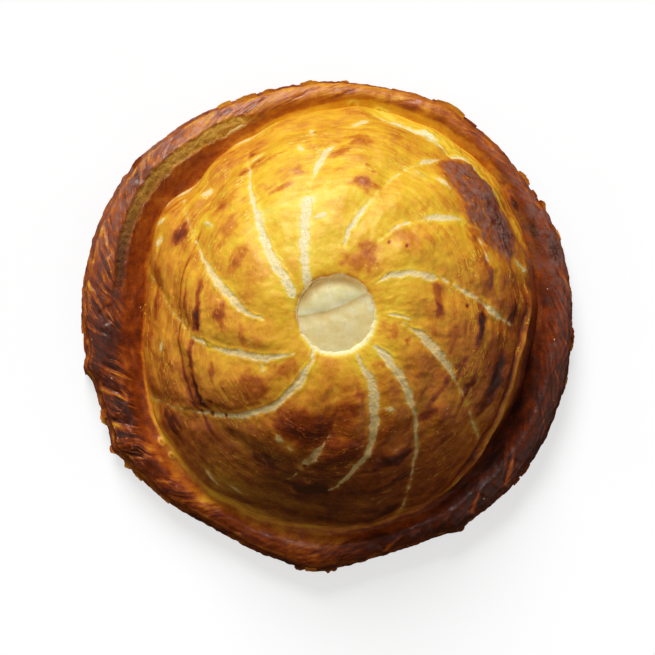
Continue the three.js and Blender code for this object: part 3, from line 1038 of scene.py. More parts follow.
    patches: tuple[Patch, ...] = rows(
        Patch,
        (68, 21.5, 5.5, 4.0, 0.26, 1.3), (62, 27.5, 5.0, 3.6, 0.26, 1.2), (47, 37.5, 6.0, 5.0, 0.10),
        (18, 23, 2.5, 2.0, 0.12), (8, 40, 8.0, 2.0, 0.20), (40, 45, 4.0, 1.8, 0.12),
        (18, 60, 12.0, 5.0, 0.12), (16, 61, 6.0, 1.6, 0.22), (31, 60, 3.0, 3.0, 0.14),
        (37, 70.5, 25.0, 15.0, 0.28, 0.6), (44, 72, 11.0, 8.0, 0.03, 0.5), (24, 73, 12.0, 5.0, 0.10, 0.6),
        (75, 48, 10.0, 8.0, 0.08, 1.4), (78, 50, 5.0, 3.0, 0.24), (75, 56, 3.0, 2.0, 0.20),
        (88, 62.5, 5.0, 3.0, 0.15), (82, 66, 5.0, 4.0, 0.18), (49.5, 52, 1.5, 2.5, 0.15),
        (-1, 57, 8.0, 2.4, 0.26), (0, 69.5, 8.0, 1.6, 0.24), (113, 53.5, 6.0, 1.6, 0.28),
        (105, 58, 2.0, 3.5, 0.20), (118, 57, 2.0, 3.0, 0.22), (111, 58, 5.0, 4.0, 0.10),
        (157, 35, 8.0, 6.0, 0.05), (150, 46, 6.0, 4.0, 0.19), (142, 56, 7.0, 4.5, 0.22),
        (180, 47, 6.0, 3.4, 0.24), (174, 56.5, 12.0, 1.8, 0.34), (176, 62, 10.0, 1.2, 0.18),
        (121, 69, 7.0, 2.0, 0.20), (118, 73, 3.0, 1.6, 0.20), (134, 64, 8.0, 4.0, 0.14),
        (153, 72, 6.0, 3.0, 0.26), (120, 75, 10.0, 6.0, 0.08, 1.2), (196, 38, 6.0, 2.4, 0.14),
        (229, 28, 4.5, 5.0, 0.22), (224, 42, 6.0, 6.0, 0.20), (184, 57.5, 5.0, 1.8, 0.26),
        (195, 61, 8.0, 1.8, 0.30), (208, 62.5, 8.0, 1.6, 0.28), (204, 54, 4.0, 1.6, 0.20),
        (261, 66, 10.0, 3.4, 0.26), (245, 61.5, 5.0, 3.5, 0.16), (213, 75, 8.0, 3.5, 0.18),
        (255, 43, 12.0, 7.0, 0.21), (273, 38, 7.0, 5.0, 0.10), (345, 64, 12.0, 6.0, 0.10),
        (5, 67, 12.0, 7.0, 0.10), (207, 64, 9.0, 4.0, 0.10), (170, 76, 14.0, 3.5, 0.12),
        (287, 31, 2.5, 3.5, 0.18), (280, 36, 3.0, 2.5, 0.12), (309, 26, 2.4, 2.0, 0.20),
        (344, 22.5, 3.5, 3.5, 0.20), (338, 30.5, 1.6, 1.4, 0.20), (290, 58.5, 9.0, 2.6, 0.24),
        (311, 52, 5.0, 2.4, 0.20), (324, 50, 6.0, 1.6, 0.16), (338, 53.5, 4.0, 1.8, 0.24),
        (330, 59, 7.0, 1.6, 0.28), (355, 56, 7.0, 2.4, 0.28), (352, 47, 6.0, 3.6, 0.12),
        (337, 68, 14.0, 3.4, 0.30), (293, 66.5, 5.0, 3.4, 0.16), (286, 77, 5.0, 3.6, 0.16),
        (302, 76, 5.0, 3.0, 0.12), (1, 40, 4.0, 2.0, 0.16), (95, 46, 25.0, 3.5, -0.13),
        (128, 48, 10.0, 4.0, -0.10), (250, 73, 22.0, 4.5, -0.10), (277, 70, 8.0, 4.0, -0.08),
    )
    least_bake: Course = Course({22: 0.33, 36: 0.31, 50: 0.28, 63: 0.37, 74: 0.46})
    # extra darkness away from the light, partly browning and partly painted shade
    bake_and_shade_away_from_light: Course = Course({22: 0.06, 36: 0.28, 50: 0.36, 63: 0.28, 74: 0.24})
    skin_edge: Course = Course(
        {14: 81.0, 25: 78.5, 35: 75.8, 41: 75.8, 45: 76.6, 50: 77.2, 52: 76.0, 55: 74.0, 57: 75.2, 64: 76.9,
         67: 76.6, 75: 77.0, 84: 79.0}
    )
    under_skin: Course = Course({20: 0.60, 30: 0.54, 42: 0.43, 60: 0.31, 80: 0.28})
    fold_line: Course = Course(
        {-70: 83.0, -60: 81.2, -50: 79.2, -40: 77.0, -30: 75.2, -20: 74.2, -10: 74.8, 5: 76.5}
    )
    crease_line: Course = Course({136: 70.3, 150: 66.2, 165: 65.2, 216: 65.6, 245: 67.0})

    def _bake(self, skin: LidSkin) -> None:
        """Bakes the crust, from 0 where it stays pale to 1 where it is dark."""
        warp = 2.4 * skin.grain(8.0, 4, 1.7) + 3.2 * streaked(skin.turn, skin.down, 9.0, 2.6, 2, 4.1)
        weft = 1.8 * skin.grain(6.0, 4, 8.9)
        away_from_light = 0.5 - 0.5 * np.cos(np.radians(skin.angle - self.light_from))
        # the crust darkens away from the light: partly more browning, partly painted shade
        baked = self.least_bake.at(skin.radius) + self.bake_and_shade_away_from_light.at(skin.radius) * away_from_light
        for side in self.sides:
            baked += side.amount * side.share(skin.angle, skin.radius)
        for patch in self.patches:
            along, out = skin.local(patch)
            baked += patch.amount * patch.share(along + warp, out + weft)
        skin.baked = mix(baked, GROOVE_BAKE.at(skin.angle), 0.85 * smooth(skin.radius, 77.5, 80.5))

    def _score(self, skin: LidSkin) -> None:
        """Cuts the scores, and lets the crust between them puff up."""
        ragged = 0.55 * skin.grain(2.4, 3, 7.7)
        wander = 0.8 * skin.grain(11.0, 2, 3.1) + 0.5 * skin.grain(5.0, 2, 5.2)
        bubbly = 0.14 * skin.grain(1.5, 2, 9.3)
        nearest = np.full_like(skin.radius, FAR)
        for score in self.scores:
            away = np.abs(score.away(skin.angle, skin.radius, skin.slope) + wander)
            half = score.half_width(skin.radius) + ragged
            inside = half - away
            parted = smooth(half, -0.2, 0.5)
            depth = (self.score_depth - bubbly - 0.06 * inside) * smooth(inside, -0.3, 0.5)
            lip = self.score_lip * bell(inside + 0.6, 0.5)
            crease = self.crease_depth * score.creased(skin.radius) * bell(away, 0.7)
            skin.lift += mix(-crease, lip - depth, parted)
            skin.open_up(np.where(half > -0.2, inside, SHUT))
            nearest = np.minimum(nearest, away)
        puffed = smooth(skin.radius, self.dome.vent_radius, 40.0)
        skin.lift += self.puff * (1.0 - bell(nearest, self.puff_spread)) * puffed

    def _blisters(self) -> Iterable[Blister]:
        """Seeded bubbles over the lid."""
        draw = random.Random(self.seed)
        for _ in range(self.blisters):
            size = draw.uniform(0.6, 2.2)
            radius = self.dome.foot_radius * math.sqrt(draw.uniform(0.06, 0.92))
            yield Blister(draw.uniform(-180.0, 180.0), radius, size, size * draw.uniform(0.1, 0.24))

    def _swell(self, skin: LidSkin) -> None:
        """Raises the crust's lumps, streaks and bubbles."""
        lumps = skin.grain(8.0, 3, 6.1)
        streaks = smooth(skin.radius, 38.0, 62.0) * streaked(skin.turn, skin.down, 7.0, 3.4, 3, 0.7)
        settled = smooth(skin.from_vent, -2.0, 9.0)
        skin.lift += settled * (self.swell_height * skin.grain(26.0, 2, 4.4) + self.lump_height * lumps)
        skin.lift += 0.14 * skin.grain(4.4, 2, 8.2) + 0.15 * skin.grain(2.2, 3, 2.6)
        skin.lift += self.streak_height * streaks
        skin.baked += 0.05 * lumps + 0.07 * streaks
        for blister in self._blisters():
            skin.lift += blister.height * skin.share(blister)

    def _peel(self, skin: LidSkin) -> None:
        """Ends the washed skin short of the foot at the upper right, over paler leaves of dough."""
        edge = self.skin_edge.at(skin.angle) + 0.9 * skin.grain(5.0, 3, 2.3)
        shown = between(skin.angle, *self.peeled)
        past = skin.radius - edge
        skin.washed = 1.0 - smooth(past, -0.3, 0.3)
        skin.lift -= self.skin_step * shown * smooth(past, 0.0, 0.5)
        cream = mix(-0.1, 0.7, smooth(skin.angle, 44.0, 54.0)) + 0.8 * skin.grain(4.0, 2, 6.6)
        skin.open_up(cream - np.abs(past - 0.6) + SHUT * (1.0 - shown))
        skin.baked = mix(skin.baked, self.under_skin.at(skin.angle), np.where(past > 0.0, shown, 0.0))
        out = skin.out_from(edge)
        waves = np.sin(math.tau * out / self.leaf + 2.4 * skin.grain(16.0, 2, 3.7))
        leaves = waves * shown * smooth(out, 2.0, 4.0)
        skin.baked += 0.10 * leaves
        skin.lift -= self.leaf_depth * leaves

    def _tear(self, skin: LidSkin) -> None:
        """Tears the skin off the crumb in small spots, and smears wash over the crumb at the front."""
        ragged = 0.5 * skin.grain(2.6, 2, 5.9)
        for tear in self.tears:
            skin.open_up(tear.inside(*skin.local(tear)) + ragged)
        smeared = self.smeared.share(skin.angle, skin.radius)
        skin.opening = np.minimum(skin.opening, mix(MOST_OPEN, 0.02, smeared))

    def _bare(self, skin: LidSkin) -> None:
        """Bares the crumb at the vent's edge, and in a thin line along the foot at the upper left."""
        skin.open_up(0.5 + 0.4 * skin.grain(3.0, 2, 4.6) - skin.from_vent)
        at_back = between(skin.angle, *self.bared_foot)
        line = 0.3 + 0.5 * skin.grain(5.0, 2, 3.9) - np.abs(skin.radius - self.foot_line)
        skin.open_up(line + SHUT * (1.0 - at_back))

    def _fold(self, skin: LidSkin) -> None:
        """Lays a strap-like fold of dough along the foot at the right, and creases the skin at the left."""
        full = skin.angle % 360.0
        ends = between(skin.angle, *self.folded)
        out = skin.out_from(self.fold_line.at(skin.angle))
        fold = ends * bell(out, self.fold_width)
        at_left = between(full, *self.creased)
        crease = at_left * bell(skin.out_from(self.crease_line.at(full)), 0.7)
        crease += ends * bell(out + 3.1, 0.9)
        flattened = (1.0 - 0.7 * fold) * (1.0 - smooth(skin.radius, 79.0, 82.0))
        skin.lift = skin.lift * flattened + self.fold_height * fold - self.fold_crease * crease
        skin.baked = mix(skin.baked, self.fold_bake, 0.95 * fold) + 0.2 * crease
        below = between(skin.angle, *self.below_fold) * smooth(skin.radius, 76.0, 78.5)
        skin.baked = mix(skin.baked, self.below_fold_bake, below * (1.0 - fold))

    def _round_vent(self, skin: LidSkin) -> None:
        """Rounds the vent's edge, and paints its crumb tan as shade on the back, paler on the side towards
        the light.
        """
        skin.lift -= mix(*self.vent_round, skin.shaded_wall) * np.exp(-skin.from_vent / 1.6)
        skin.baked = mix(skin.wall_bake_with_painted_shade, skin.baked, smooth(skin.from_vent, 0.6, 2.0))

    def _scorch(self, skin: LidSkin) -> None:
        """Pales the crust beside openings, paints shade on the front in the matte colour, and scorches it at
        the right under a painted sheen.
        """
        skin.baked -= 0.12 * bell(np.maximum(-skin.opening, 0.0), 1.4)
        # painted shade on the front, away from the light, drawn with the matte colour and a little less bake
        skin.dull = self.shade.share(skin.angle, skin.radius)
        skin.baked -= 0.07 * skin.dull * smooth(skin.radius, 66.0, 74.0)
        # painted sheen over the dark scorched patch at the upper right, which also gets crusty bake and
        # relief
        scorched = smooth(skin.baked, 0.60, 0.76) * smooth(skin.radius, 56.0, 64.0) * skin.washed
        skin.bloom = scorched * between(skin.angle, *self.scorched)
        crusty = skin.grain(2.4, 3, 5.3) * skin.bloom
        skin.baked += 0.16 * crusty
        skin.lift += self.scorched_height * crusty
        # painted shadow of the gaps, as colour only
        for middle, length in self.painted_shadow_slits:
            spot = near(skin.angle, middle, length) * bell(skin.radius - self.foot_line, 0.7)
            skin.baked = mix(skin.baked, 1.0, spot)

    def _pierce(self, skin: LidSkin) -> None:
        """Pricks the dark pinholes and raises the clear bubbles in a score."""
        kinds = ((self.pinholes, 4.0, self.pinhole_bake), (self.windows, 3.0, self.window_bake))
        for spots, closed, bake in kinds:
            for spot in spots:
                share = skin.share(spot)
                skin.lift += spot.height * share
                skin.opening -= closed * share
                skin.baked = mix(skin.baked, bake, share)

    def _points(self, skin: LidSkin) -> Array:
        """Places of the lid's points, outside and inside."""
        dome = self.dome
        normal = skin.around * np.sin(skin.slope)[:, None]
        normal[:, 2] = np.cos(skin.slope)
        outside = skin.places + normal * skin.lift[:, None]
        vent = dome.vent_radius - mix(*dome.vent_taper, skin.shaded_wall)
        reach = mix(vent, dome.foot(skin.angle) - dome.wall_at_foot, skin.way)
        inside = skin.around * (reach + skin.ragged_vent * (1.0 - smooth(skin.way, 0.0, 0.1)))[:, None]
        sunk = self.vent_sink * (1.0 - smooth(skin.way, 0.0, 0.15))
        inside[:, 2] = dome.underside(inside[:, 0], inside[:, 1]) - sunk
        points = mix(inside, outside, skin.face[:, None])
        points[:, :2] += dome.axis
        return points

    def build(self, finish: bpy.types.Material) -> bpy.types.Object:
        """Makes the lid.

        Args:
            finish: the crust's material.

        Returns:
            The piece.
        """
        corners = ((1.0, 1.0), (2.0, 1.0), (2.0, 0.0), (1.0, 0.0))
        blank = Blank(corners, (self.rings - 2, 2, 4, 4), self.columns)
        skin = LidSkin(blank, self.dome)
        self._bake(skin)
        self._score(skin)
        self._swell(skin)
        self._peel(skin)
        self._tear(skin)
        self._bare(skin)
        self._fold(skin)
        self._round_vent(skin)
        self._scorch(skin)
        self._pierce(skin)
        outside = skin.face > 0.99
        # the vent's wall carries its painted shade as bake
        blank.carry(Mark.BAKE, np.where(outside, skin.baked, skin.wall_bake_with_painted_shade))
        blank.carry(Mark.OPENING, np.where(outside, np.clip(skin.opening, -MOST_OPEN, MOST_OPEN), 0.6))
        blank.carry(Mark.DULL_AND_SHADE, 0.6 * skin.dull * skin.face)
        blank.carry(Mark.BLOOM, 0.58 * skin.bloom * skin.face)
        piece = blank.piece("pastry_lid", self._points(skin), finish)
        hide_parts("pastry")
        return piece


@dataclass(frozen=True)
class Slash:
    """Cut across the rim: angle and radius of its outer and inner end, its strength and its lip's width."""

    outer: tuple[float, float]
    inner: tuple[float, float]
    strength: float
    width: float

    def local(self, x: Array, y: Array) -> tuple[Array, Array]:
        """Share of the way along the cut, and distance to its clockwise side in millimetres."""
        start, end = (
            np.array((radius * math.cos(math.radians(angle)), radius * math.sin(math.radians(angle))))
            for angle, radius in (self.outer, self.inner)
        )
        length = float(np.hypot(*(end - start)))
        run = (end - start) / length
        along = ((x - start[0]) * run[0] + (y - start[1]) * run[1]) / length
        return along, run[0] * (y - start[1]) - run[1] * (x - start[0])


class RimSkin:
    """Surface of the base and rim while it is dressed: where its points lie, their relief and their marks."""

    def __init__(self, blank: Blank, rim: "Rim") -> None:
        """Lays the bare rim out.

        Args:
            blank: section from radius 0 in the middle to 1 at the groove and 2 at the edge, and from height 0
                at the bottom to 1 on top.
            rim: sizes of the rim.
        """
        self.spun = blank.radius
        self.angle = blank.angle
        self.full = blank.angle % 360.0
        self.turn = np.radians(self.angle)
        self.under = blank.height < HAIR
        self.floor = (blank.radius < 1.0 - HAIR) & ~self.under
        self.on_side = (blank.radius > 2.0 - HAIR) & ~self.under
        self.on_top = np.where(self.under | self.floor, 0.0, 1.0)
        self.across = np.clip(blank.radius - 1.0, 0.0, 1.0)
        self.down = np.where(self.on_side, 1.0 - blank.height, 0.0)
        self.around = outward(self.turn)
        self.flat = self.around * rim.radius
        frayed = 0.5 * grain(self.flat, 9.0, 3, 6.6) + 0.10 * grain(self.flat, 1.8, 2, 1.1)
        self.outline = rim.outline(self.angle) + frayed
        self.groove = rim.groove(self.angle)
        self.edge = self.outline - rim.inset(self.angle) - 0.35 * grain(self.flat, 8.0, 3, 9.2)
        self.width = self.edge - self.groove
        self.reach = mix(self.groove - rim.tuck, self.edge, self.across)
        self.ridge = rim.ridge(self.angle)
        at_front = smooth(-np.sin(np.radians(self.angle + 8.0)), 0.2, 0.9)
        fillet = (0.6 + 2.2 * at_front) * (1.0 - smooth(self.across, 0.0, 0.3))
        self.top = rim.seam_height + fillet + self.ridge * rim.bead(self.across)
        self.places = self.around * self.reach[:, None]
        self.places[:, 2] = self.top
        self.edge_top = rim.seam_height + rim.edge_share * self.ridge
        self.side_places = self.around * self.outline[:, None]
        self.side_places[:, 2] = self.edge_top * (1.0 - self.down)
        wavy = 0.7 * grain(self.flat, 16.0, 3, 7.1) + 0.3 * grain(self.side_places, 5.0, 2, 3.4)
        self.tooth = np.abs((self.down * self.edge_top / rim.layer + wavy) % 1.0 - 0.5) * 2.0
        plain = np.zeros_like(self.across)
        self.lift = plain.copy()
        self.paler = plain.copy()
        self.torn = plain.copy()
        self.lip = plain.copy()
        self.cuts = plain.copy()
        self.gaps = plain.copy()
        self.rings = plain.copy()
        self.slant = plain.copy()
        self.strand = plain.copy()

    def grain(self, size: float, octaves: int, shift: float) -> Array:
        """Smooth unevenness over the rim."""
        return grain(self.places, size, octaves, shift)

    def local(self, spot: Any) -> tuple[Array, Array]:
        """Distances from a spot, round the pie and outwards."""
        return np.radians(turned(self.angle, spot.angle)) * spot.radius, self.reach - spot.radius


@dataclass
class Rim:
    """Base and raised rim with its slashes, its flaky side and its torn band."""

    dome: Dome
    columns: int = 1120
    rings: int = 52
    side_rings: int = 22
    radius: float = 99.4
    tuck: float = 1.6
    seam: float = 0.3
    least_rise: float = 4.2
    most_rise: float = 8.2
    narrow: float = 10.0
    wide: float = 25.0
    crest: float = 0.62
    edge_share: float = 0.45
    foot_back: float = 1.4
    layer: float = 1.5
    lip_height: float = 0.34
    gap_depth: float = 0.3
    lip_spread: float = 1.15
    edge_bead: float = 0.4
    leaf: float = 2.6
    leaf_length: float = 14.0
    leaf_relief: float = 0.26
    fine_layer: float = 1.9
    band_depth: float = 0.4
    cut_bake: tuple[float, float] = (0.53, 0.64)
    # bake of the painted shade in the gaps beside the slashes' lips
    painted_gap_shade: float = 0.90
    side_bake: tuple[float, float] = (0.72, 0.82)
    under_bake: float = 0.52
    floor_bake: float = 0.1
    torn_band: Span = (105.0, 114.0, 162.0, 178.0)
    swells: tuple[Swell, ...] = rows(
        Swell,
        (20, 10, 1.6), (57, 18, 1.8), (104, 12, -1.2), (145, 22, 2.8), (195, 12, -2.0), (241, 20, -5.4),
        (289, 18, -4.0), (62, 2.5, 1.2), (190, 2.5, 2.4), (210, 3, 1.8), (267, 6, 1.6), (302, 2.5, 1.2),
    )
    slashes: tuple[Slash, ...] = rows(
        Slash,
        ((155.2, 100.3), (163.3, 90.7), 1.0, 0.8), ((169.4, 99.2), (172.1, 93.1), 1.0, 0.9),
        ((175.0, 89.8), (179.1, 85.1), 1.0, 0.9), ((163.8, 99.8), (164.9, 97.0), 0.8, 0.7),
        ((179.5, 98.4), (183.5, 86.1), 0.6, 0.5), ((188.4, 96.0), (196.5, 79.8), 0.7, 0.6),
        ((195.4, 94.8), (200.8, 84.2), 1.1, 1.0), ((204.2, 94.7), (207.9, 88.3), 1.0, 0.9),
        ((213.0, 96.5), (216.5, 89.5), 0.7, 0.6), ((222.0, 93.0), (225.5, 88.0), 0.6, 0.6),
        ((230.0, 92.0), (233.0, 88.0), 0.5, 0.5), ((236.0, 88.3), (239.7, 84.0), 0.6, 0.6),
        ((244.5, 92.9), (248.1, 90.4), 0.6, 0.7), ((253.0, 93.0), (256.0, 90.0), 0.5, 0.5),
        ((262.8, 94.5), (268.7, 91.3), 0.7, 0.8), ((283.9, 93.8), (290.0, 89.0), 1.0, 0.8),
        ((301.0, 91.5), (303.7, 89.9), 0.5, 0.5), ((307.7, 95.1), (313.0, 90.1), 1.1, 0.9),
        ((318.3, 96.4), (325.4, 91.1), 1.1, 1.0), ((335.0, 97.0), (339.0, 92.0), 0.4, 0.5),
        ((345.0, 98.0), (350.0, 92.0), 0.5, 0.5), ((354.0, 99.0), (358.0, 94.0), 0.6, 0.6),
        ((2.5, 96.6), (7.8, 93.2), 0.5, 0.6), ((6.6, 100.3), (14.7, 95.8), 1.0, 1.0),
        ((28.0, 99.5), (33.0, 95.5), 0.5, 0.5), ((40.0, 99.5), (45.0, 96.0), 0.5, 0.5),
        ((52.0, 99.5), (57.0, 95.5), 0.4, 0.5), ((68.0, 99.5), (74.0, 95.0), 0.5, 0.6),
        ((82.5, 98.4), (89.9, 92.5), 0.6, 0.7), ((92.1, 98.5), (100.0, 93.1), 0.8, 0.9),
        ((105.5, 97.7), (115.1, 93.6), 0.7, 0.7), ((117.1, 98.3), (123.1, 93.9), 0.8, 0.8),
        ((128.0, 100.5), (134.0, 95.0), 0.7, 0.6), ((137.0, 101.0), (143.0, 94.0), 0.8, 0.6),
        ((146.0, 101.0), (151.0, 95.0), 0.7, 0.6),
    )
    bubbles: tuple[Blister, ...] = rows(
        Blister,
        (83.3, 90.1, 2.0, 0.7), (76.6, 89.8, 1.3, 0.5), (74.8, 89.5, 1.2, 0.5), (214.7, 81.0, 1.3, 0.6),
        (219.6, 81.2, 1.2, 0.5),
    )
    bubble_stretch: float = 1.4
    patches: tuple[Patch, ...] = rows(
        Patch,
        (143.0, 96.3, 8.0, 2.4, 0.20), (116.0, 96.8, 4.5, 2.4, 0.20), (129.0, 98.0, 6.0, 1.8, 0.14),
        (33.2, 90.2, 2.6, 1.2, 0.26), (25.0, 92.0, 3.4, 1.4, 0.26), (20.0, 96.5, 9.0, 2.4, 0.10),
        (86.0, 94.5, 5.0, 1.6, 0.10), (70.0, 95.0, 6.0, 1.6, 0.10),
    )
    band_middle: Course = Course(
        {106: 88.3, 115: 89.8, 127: 90.2, 139: 91.6, 150: 90.1, 164: 86.4, 178: 84.5}
    )
    band_half: Course = Course({106: 1.2, 120: 2.5, 150: 2.5, 170: 1.8})
    band_bake: Course = Course({108: 0.31, 127: 0.44, 139: 0.51, 150: 0.57, 160: 0.80, 175: 0.88})
    inner_bake: Course = Course(
        {0: 0.88, 20: 0.82, 45: 0.73, 70: 0.65, 95: 0.62, 120: 0.67, 140: 0.70, 165: 0.80, 185: 0.81,
         205: 0.78, 235: 0.56, 262: 0.60, 285: 0.75, 315: 0.92, 340: 0.93},
        closed=True,
    )
    outer_bake: Course = Course(
        {0: 0.90, 20: 0.85, 45: 0.78, 70: 0.61, 95: 0.55, 120: 0.65, 140: 0.70, 165: 0.81, 185: 0.94,
         205: 0.92, 235: 0.80, 262: 0.80, 285: 0.91, 315: 0.95, 340: 0.96},
        closed=True,
    )
    groove_width: Course = Course(
        {0: 0.6, 15: 2.0, 25: 2.8, 50: 3.0, 68: 2.7, 90: 2.1, 105: 0.9, 120: 0.4, 180: 0.3, 205: 0.5,
         225: 0.8, 245: 1.0, 270: 1.0, 290: 0.5, 330: 0.4},
        closed=True,
    )
    strand_lean: Course = Course(
        {0: 0.030, 20: 0.036, 60: 0.040, 110: 0.036, 125: 0.022, 150: 0.015, 180: 0.013, 205: 0.011,
         240: 0.013, 285: 0.020, 315: 0.018, 340: 0.020},
        closed=True,
    )
    # painted sheen laid on the rim's top round the pie
    bloom: Course = Course(
        {0: 0.10, 15: 0.30, 30: 0.36, 45: 0.20, 60: 0.05, 90: 0.05, 105: 0.10, 120: 0.28, 135: 0.42,
         150: 0.38, 165: 0.16, 180: 0.04, 200: 0.0, 345: 0.0},
        closed=True,
    )

    @property
    def seam_height(self) -> float:
        """Height at which the rim starts beside the groove."""
        return self.dome.groove_height + self.seam

    def groove(self, angle: Array) -> Array:
        """Radius of the groove about the origin."""
        turn = np.linspace(-180.0, 180.0, 1441)
        reach = self.dome.foot(turn)
        x = self.dome.axis[0] + reach * np.cos(np.radians(turn))
        y = self.dome.axis[1] + reach * np.sin(np.radians(turn))
        return np.interp(angle, np.degrees(np.arctan2(y, x)), np.hypot(x, y), period=360.0)

    def outline(self, angle: Array) -> Array:
        """Radius of the footprint about the origin."""
        return self.radius + sum(swell.at(angle) for swell in self.swells)

    def inset(self, angle: Array) -> Array:
        """How far the rim's top edge lies inside the footprint, most at the left and the lower left."""
        return 1.8 + 1.0 * np.cos(np.radians(angle - 205.0))

    def ridge(self, angle: Array) -> Array:
        """Rise of the rim over the groove, lower where the rim is narrow."""
        width = self.outline(angle) - self.groove(angle)
        return mix(self.least_rise, self.most_rise, smooth(width, self.narrow, self.wide))

    def bead(self, across: Array) -> Array:
        """Section of the rim, hollow towards the groove and round towards the edge."""
        inner = smooth(across, -0.15, self.crest)
        outer = np.clip((across - self.crest) / (1.0 - self.crest), 0.0, 1.0)
        return inner - (1.0 - self.edge_share) * outer**2.2

    def _tear(self, skin: RimSkin) -> None:
        """Tears the skin in a band at the upper left, with a lip to each side."""
        out = skin.reach - self.band_middle.at(skin.full)
        out = out + 0.8 * skin.grain(6.0, 3, 1.3) + 0.5 * skin.grain(1.7, 2, 2.4)
        half = self.band_half.at(skin.full)
        shown = between(skin.full, *self.torn_band)
        skin.torn = shown * (1.0 - smooth(np.abs(out), half - 1.1, half + 0.7))
        lips = 0.4 * bell(out + half + 0.5, 0.8) + 0.3 * bell(out - half - 0.5, 0.8)
        skin.lift += shown * lips + skin.torn * (0.35 * skin.grain(1.6, 2, 3.8) - self.band_depth)
        lip_width = mix(0.8, 0.05, smooth(skin.full, 112.0, 124.0)) - 0.5 * smooth(skin.full, 140.0, 156.0)
        skin.lip = shown * (lip_width - np.abs(out + half + 0.4)) - 4.0 * (1.0 - shown)

    def _slash(self, skin: RimSkin) -> None:
        """Cuts the slashes, each with a raised lip and a sunken gap beside it, which is painted dark as
        shade.
        """
        wander = 0.45 * skin.grain(4.0, 3, 3.3)
        crumbly = 1.0 + 0.3 * skin.grain(1.6, 2, 5.1)
        lift = np.zeros_like(skin.across)
        nearest = np.full_like(skin.across, FAR)
        for slash in self.slashes:
            along, aside = slash.local(skin.places[:, 0], skin.places[:, 1])
            aside = aside + wander
            taper = slash.strength * between(along, -0.08, 0.12, 0.75, 1.08)
            half = self.lip_spread * slash.width * mix(1.0, 0.45, np.clip(along, 0.0, 1.0))
            lip = taper * bell(aside, half) * crumbly
            gap = taper * bell(aside - half - 0.7, 0.5)
            lift += self.lip_height * lip - self.gap_depth * gap
            skin.cuts = np.maximum(skin.cuts, lip)
            skin.gaps = np.maximum(skin.gaps, gap)
            nearest = np.minimum(nearest, np.abs(aside) + 8.0 * (1.0 - np.minimum(taper, 1.0)))
        lift += 0.6 * (1.0 - bell(nearest, 4.0)) * smooth(skin.across, 0.35, 0.6) - 0.3
        skin.lift += lift * (1.0 - 0.8 * skin.torn)

    def _layer(self, skin: RimSkin) -> None:
        """Raises lumps, fine layers at the right and a bead along the edge at the left."""
        lumps = 0.5 * skin.grain(14.0, 2, 4.7) + 0.2 * skin.grain(4.0, 3, 8.3)
        skin.lift += lumps * smooth(skin.across, 0.05, 0.25)
        depth = skin.across * skin.width / self.fine_layer + 0.9 * skin.grain(12.0, 2, 9.9)
        layers = np.sin(math.tau * depth) * smooth(np.cos(skin.turn), 0.3, 0.9)
        bead = smooth(-np.cos(skin.turn), -0.3, 0.5) * bell((1.0 - skin.across) * skin.width - 0.6, 0.55)
        skin.lift += 0.1 * layers * smooth(skin.across, 0.7, 0.9) + self.edge_bead * bead
        skin.paler += 0.06 * layers * smooth(skin.across, 0.7, 0.85) + 0.12 * bead

    def _strand(self, skin: RimSkin) -> None:
        """Draws the top out into slanting strands, the most at the left."""
        from_edge = skin.reach - self.radius
        skin.slant = self.strand_lean.at(skin.angle) * from_edge + 0.03 * skin.grain(10.0, 2, 8.8)
        around = self.radius / self.leaf
        fibre = streaked(skin.turn + skin.slant, skin.reach, around, self.leaf_length, 3, 5.5)
        at_left = mix(0.45, 1.0, smooth(np.cos(np.radians(skin.angle - 160.0)), 0.0, 0.8))
        uneven = smooth(skin.grain(11.0, 2, 4.9), -0.6, 0.4)
        skin.strand = at_left * uneven * smooth(skin.across, 0.25, 0.5) * (1.0 - skin.torn) * skin.on_top
        leafy = (0.5 * fibre + 0.7 * bell(fibre, 0.12) - 0.2) * skin.strand
        skin.lift += self.leaf_relief * leafy
        skin.paler += 0.13 * leafy

    def _bubble(self, skin: RimSkin) -> None:
        """Raises the bubbles, each with a pale ring."""
        for bubble in self.bubbles:
            along, out = skin.local(bubble)
            away = np.hypot(along / self.bubble_stretch, out)
            skin.rings = np.maximum(skin.rings, bell(away - 0.7 * bubble.size, 0.45))
            skin.lift += bubble.height * bell(away, bubble.size)

    def _points(self, skin: RimSkin) -> Array:
        """Places of the points of the top, the layered side, the underside and the floor below the lid."""
        up = 1.0 - skin.down
        height = skin.top + skin.lift * (1.0 - 0.5 * smooth(skin.across, 0.85, 1.0)) * skin.on_top
        flaky = 0.7 * skin.tooth**1.5 + 0.4 * grain(skin.side_places, 3.0, 3, 2.9)
        side_reach = mix(skin.edge, skin.outline, smooth(skin.down, 0.0, 0.62))
        side_reach -= smooth(skin.down, 0.02, 0.15) * flaky
        side_reach -= self.foot_back * smooth(skin.down, 0.72, 1.0) ** 2
        under_reach = (skin.outline - self.foot_back - 0.5) * skin.spun / 2.0
        floor_reach = skin.spun * (skin.groove - self.tuck)
        low = self.dome.base_thickness - self.seam
        floor_height = mix(low, self.dome.groove_height, smooth(skin.spun, 0.8, 1.0))
        zones = (skin.under, skin.floor, skin.on_side & (skin.down > 0.0))
        side_height = (skin.edge_top + 0.4 * skin.lift) * up
        points = skin.around * np.select(
            (skin.under, skin.floor, skin.on_side), (under_reach, floor_reach, side_reach), skin.reach
        )[:, None]
        points[:, 2] = np.select(zones, (np.zeros_like(up), floor_height, side_height), height)
        return points

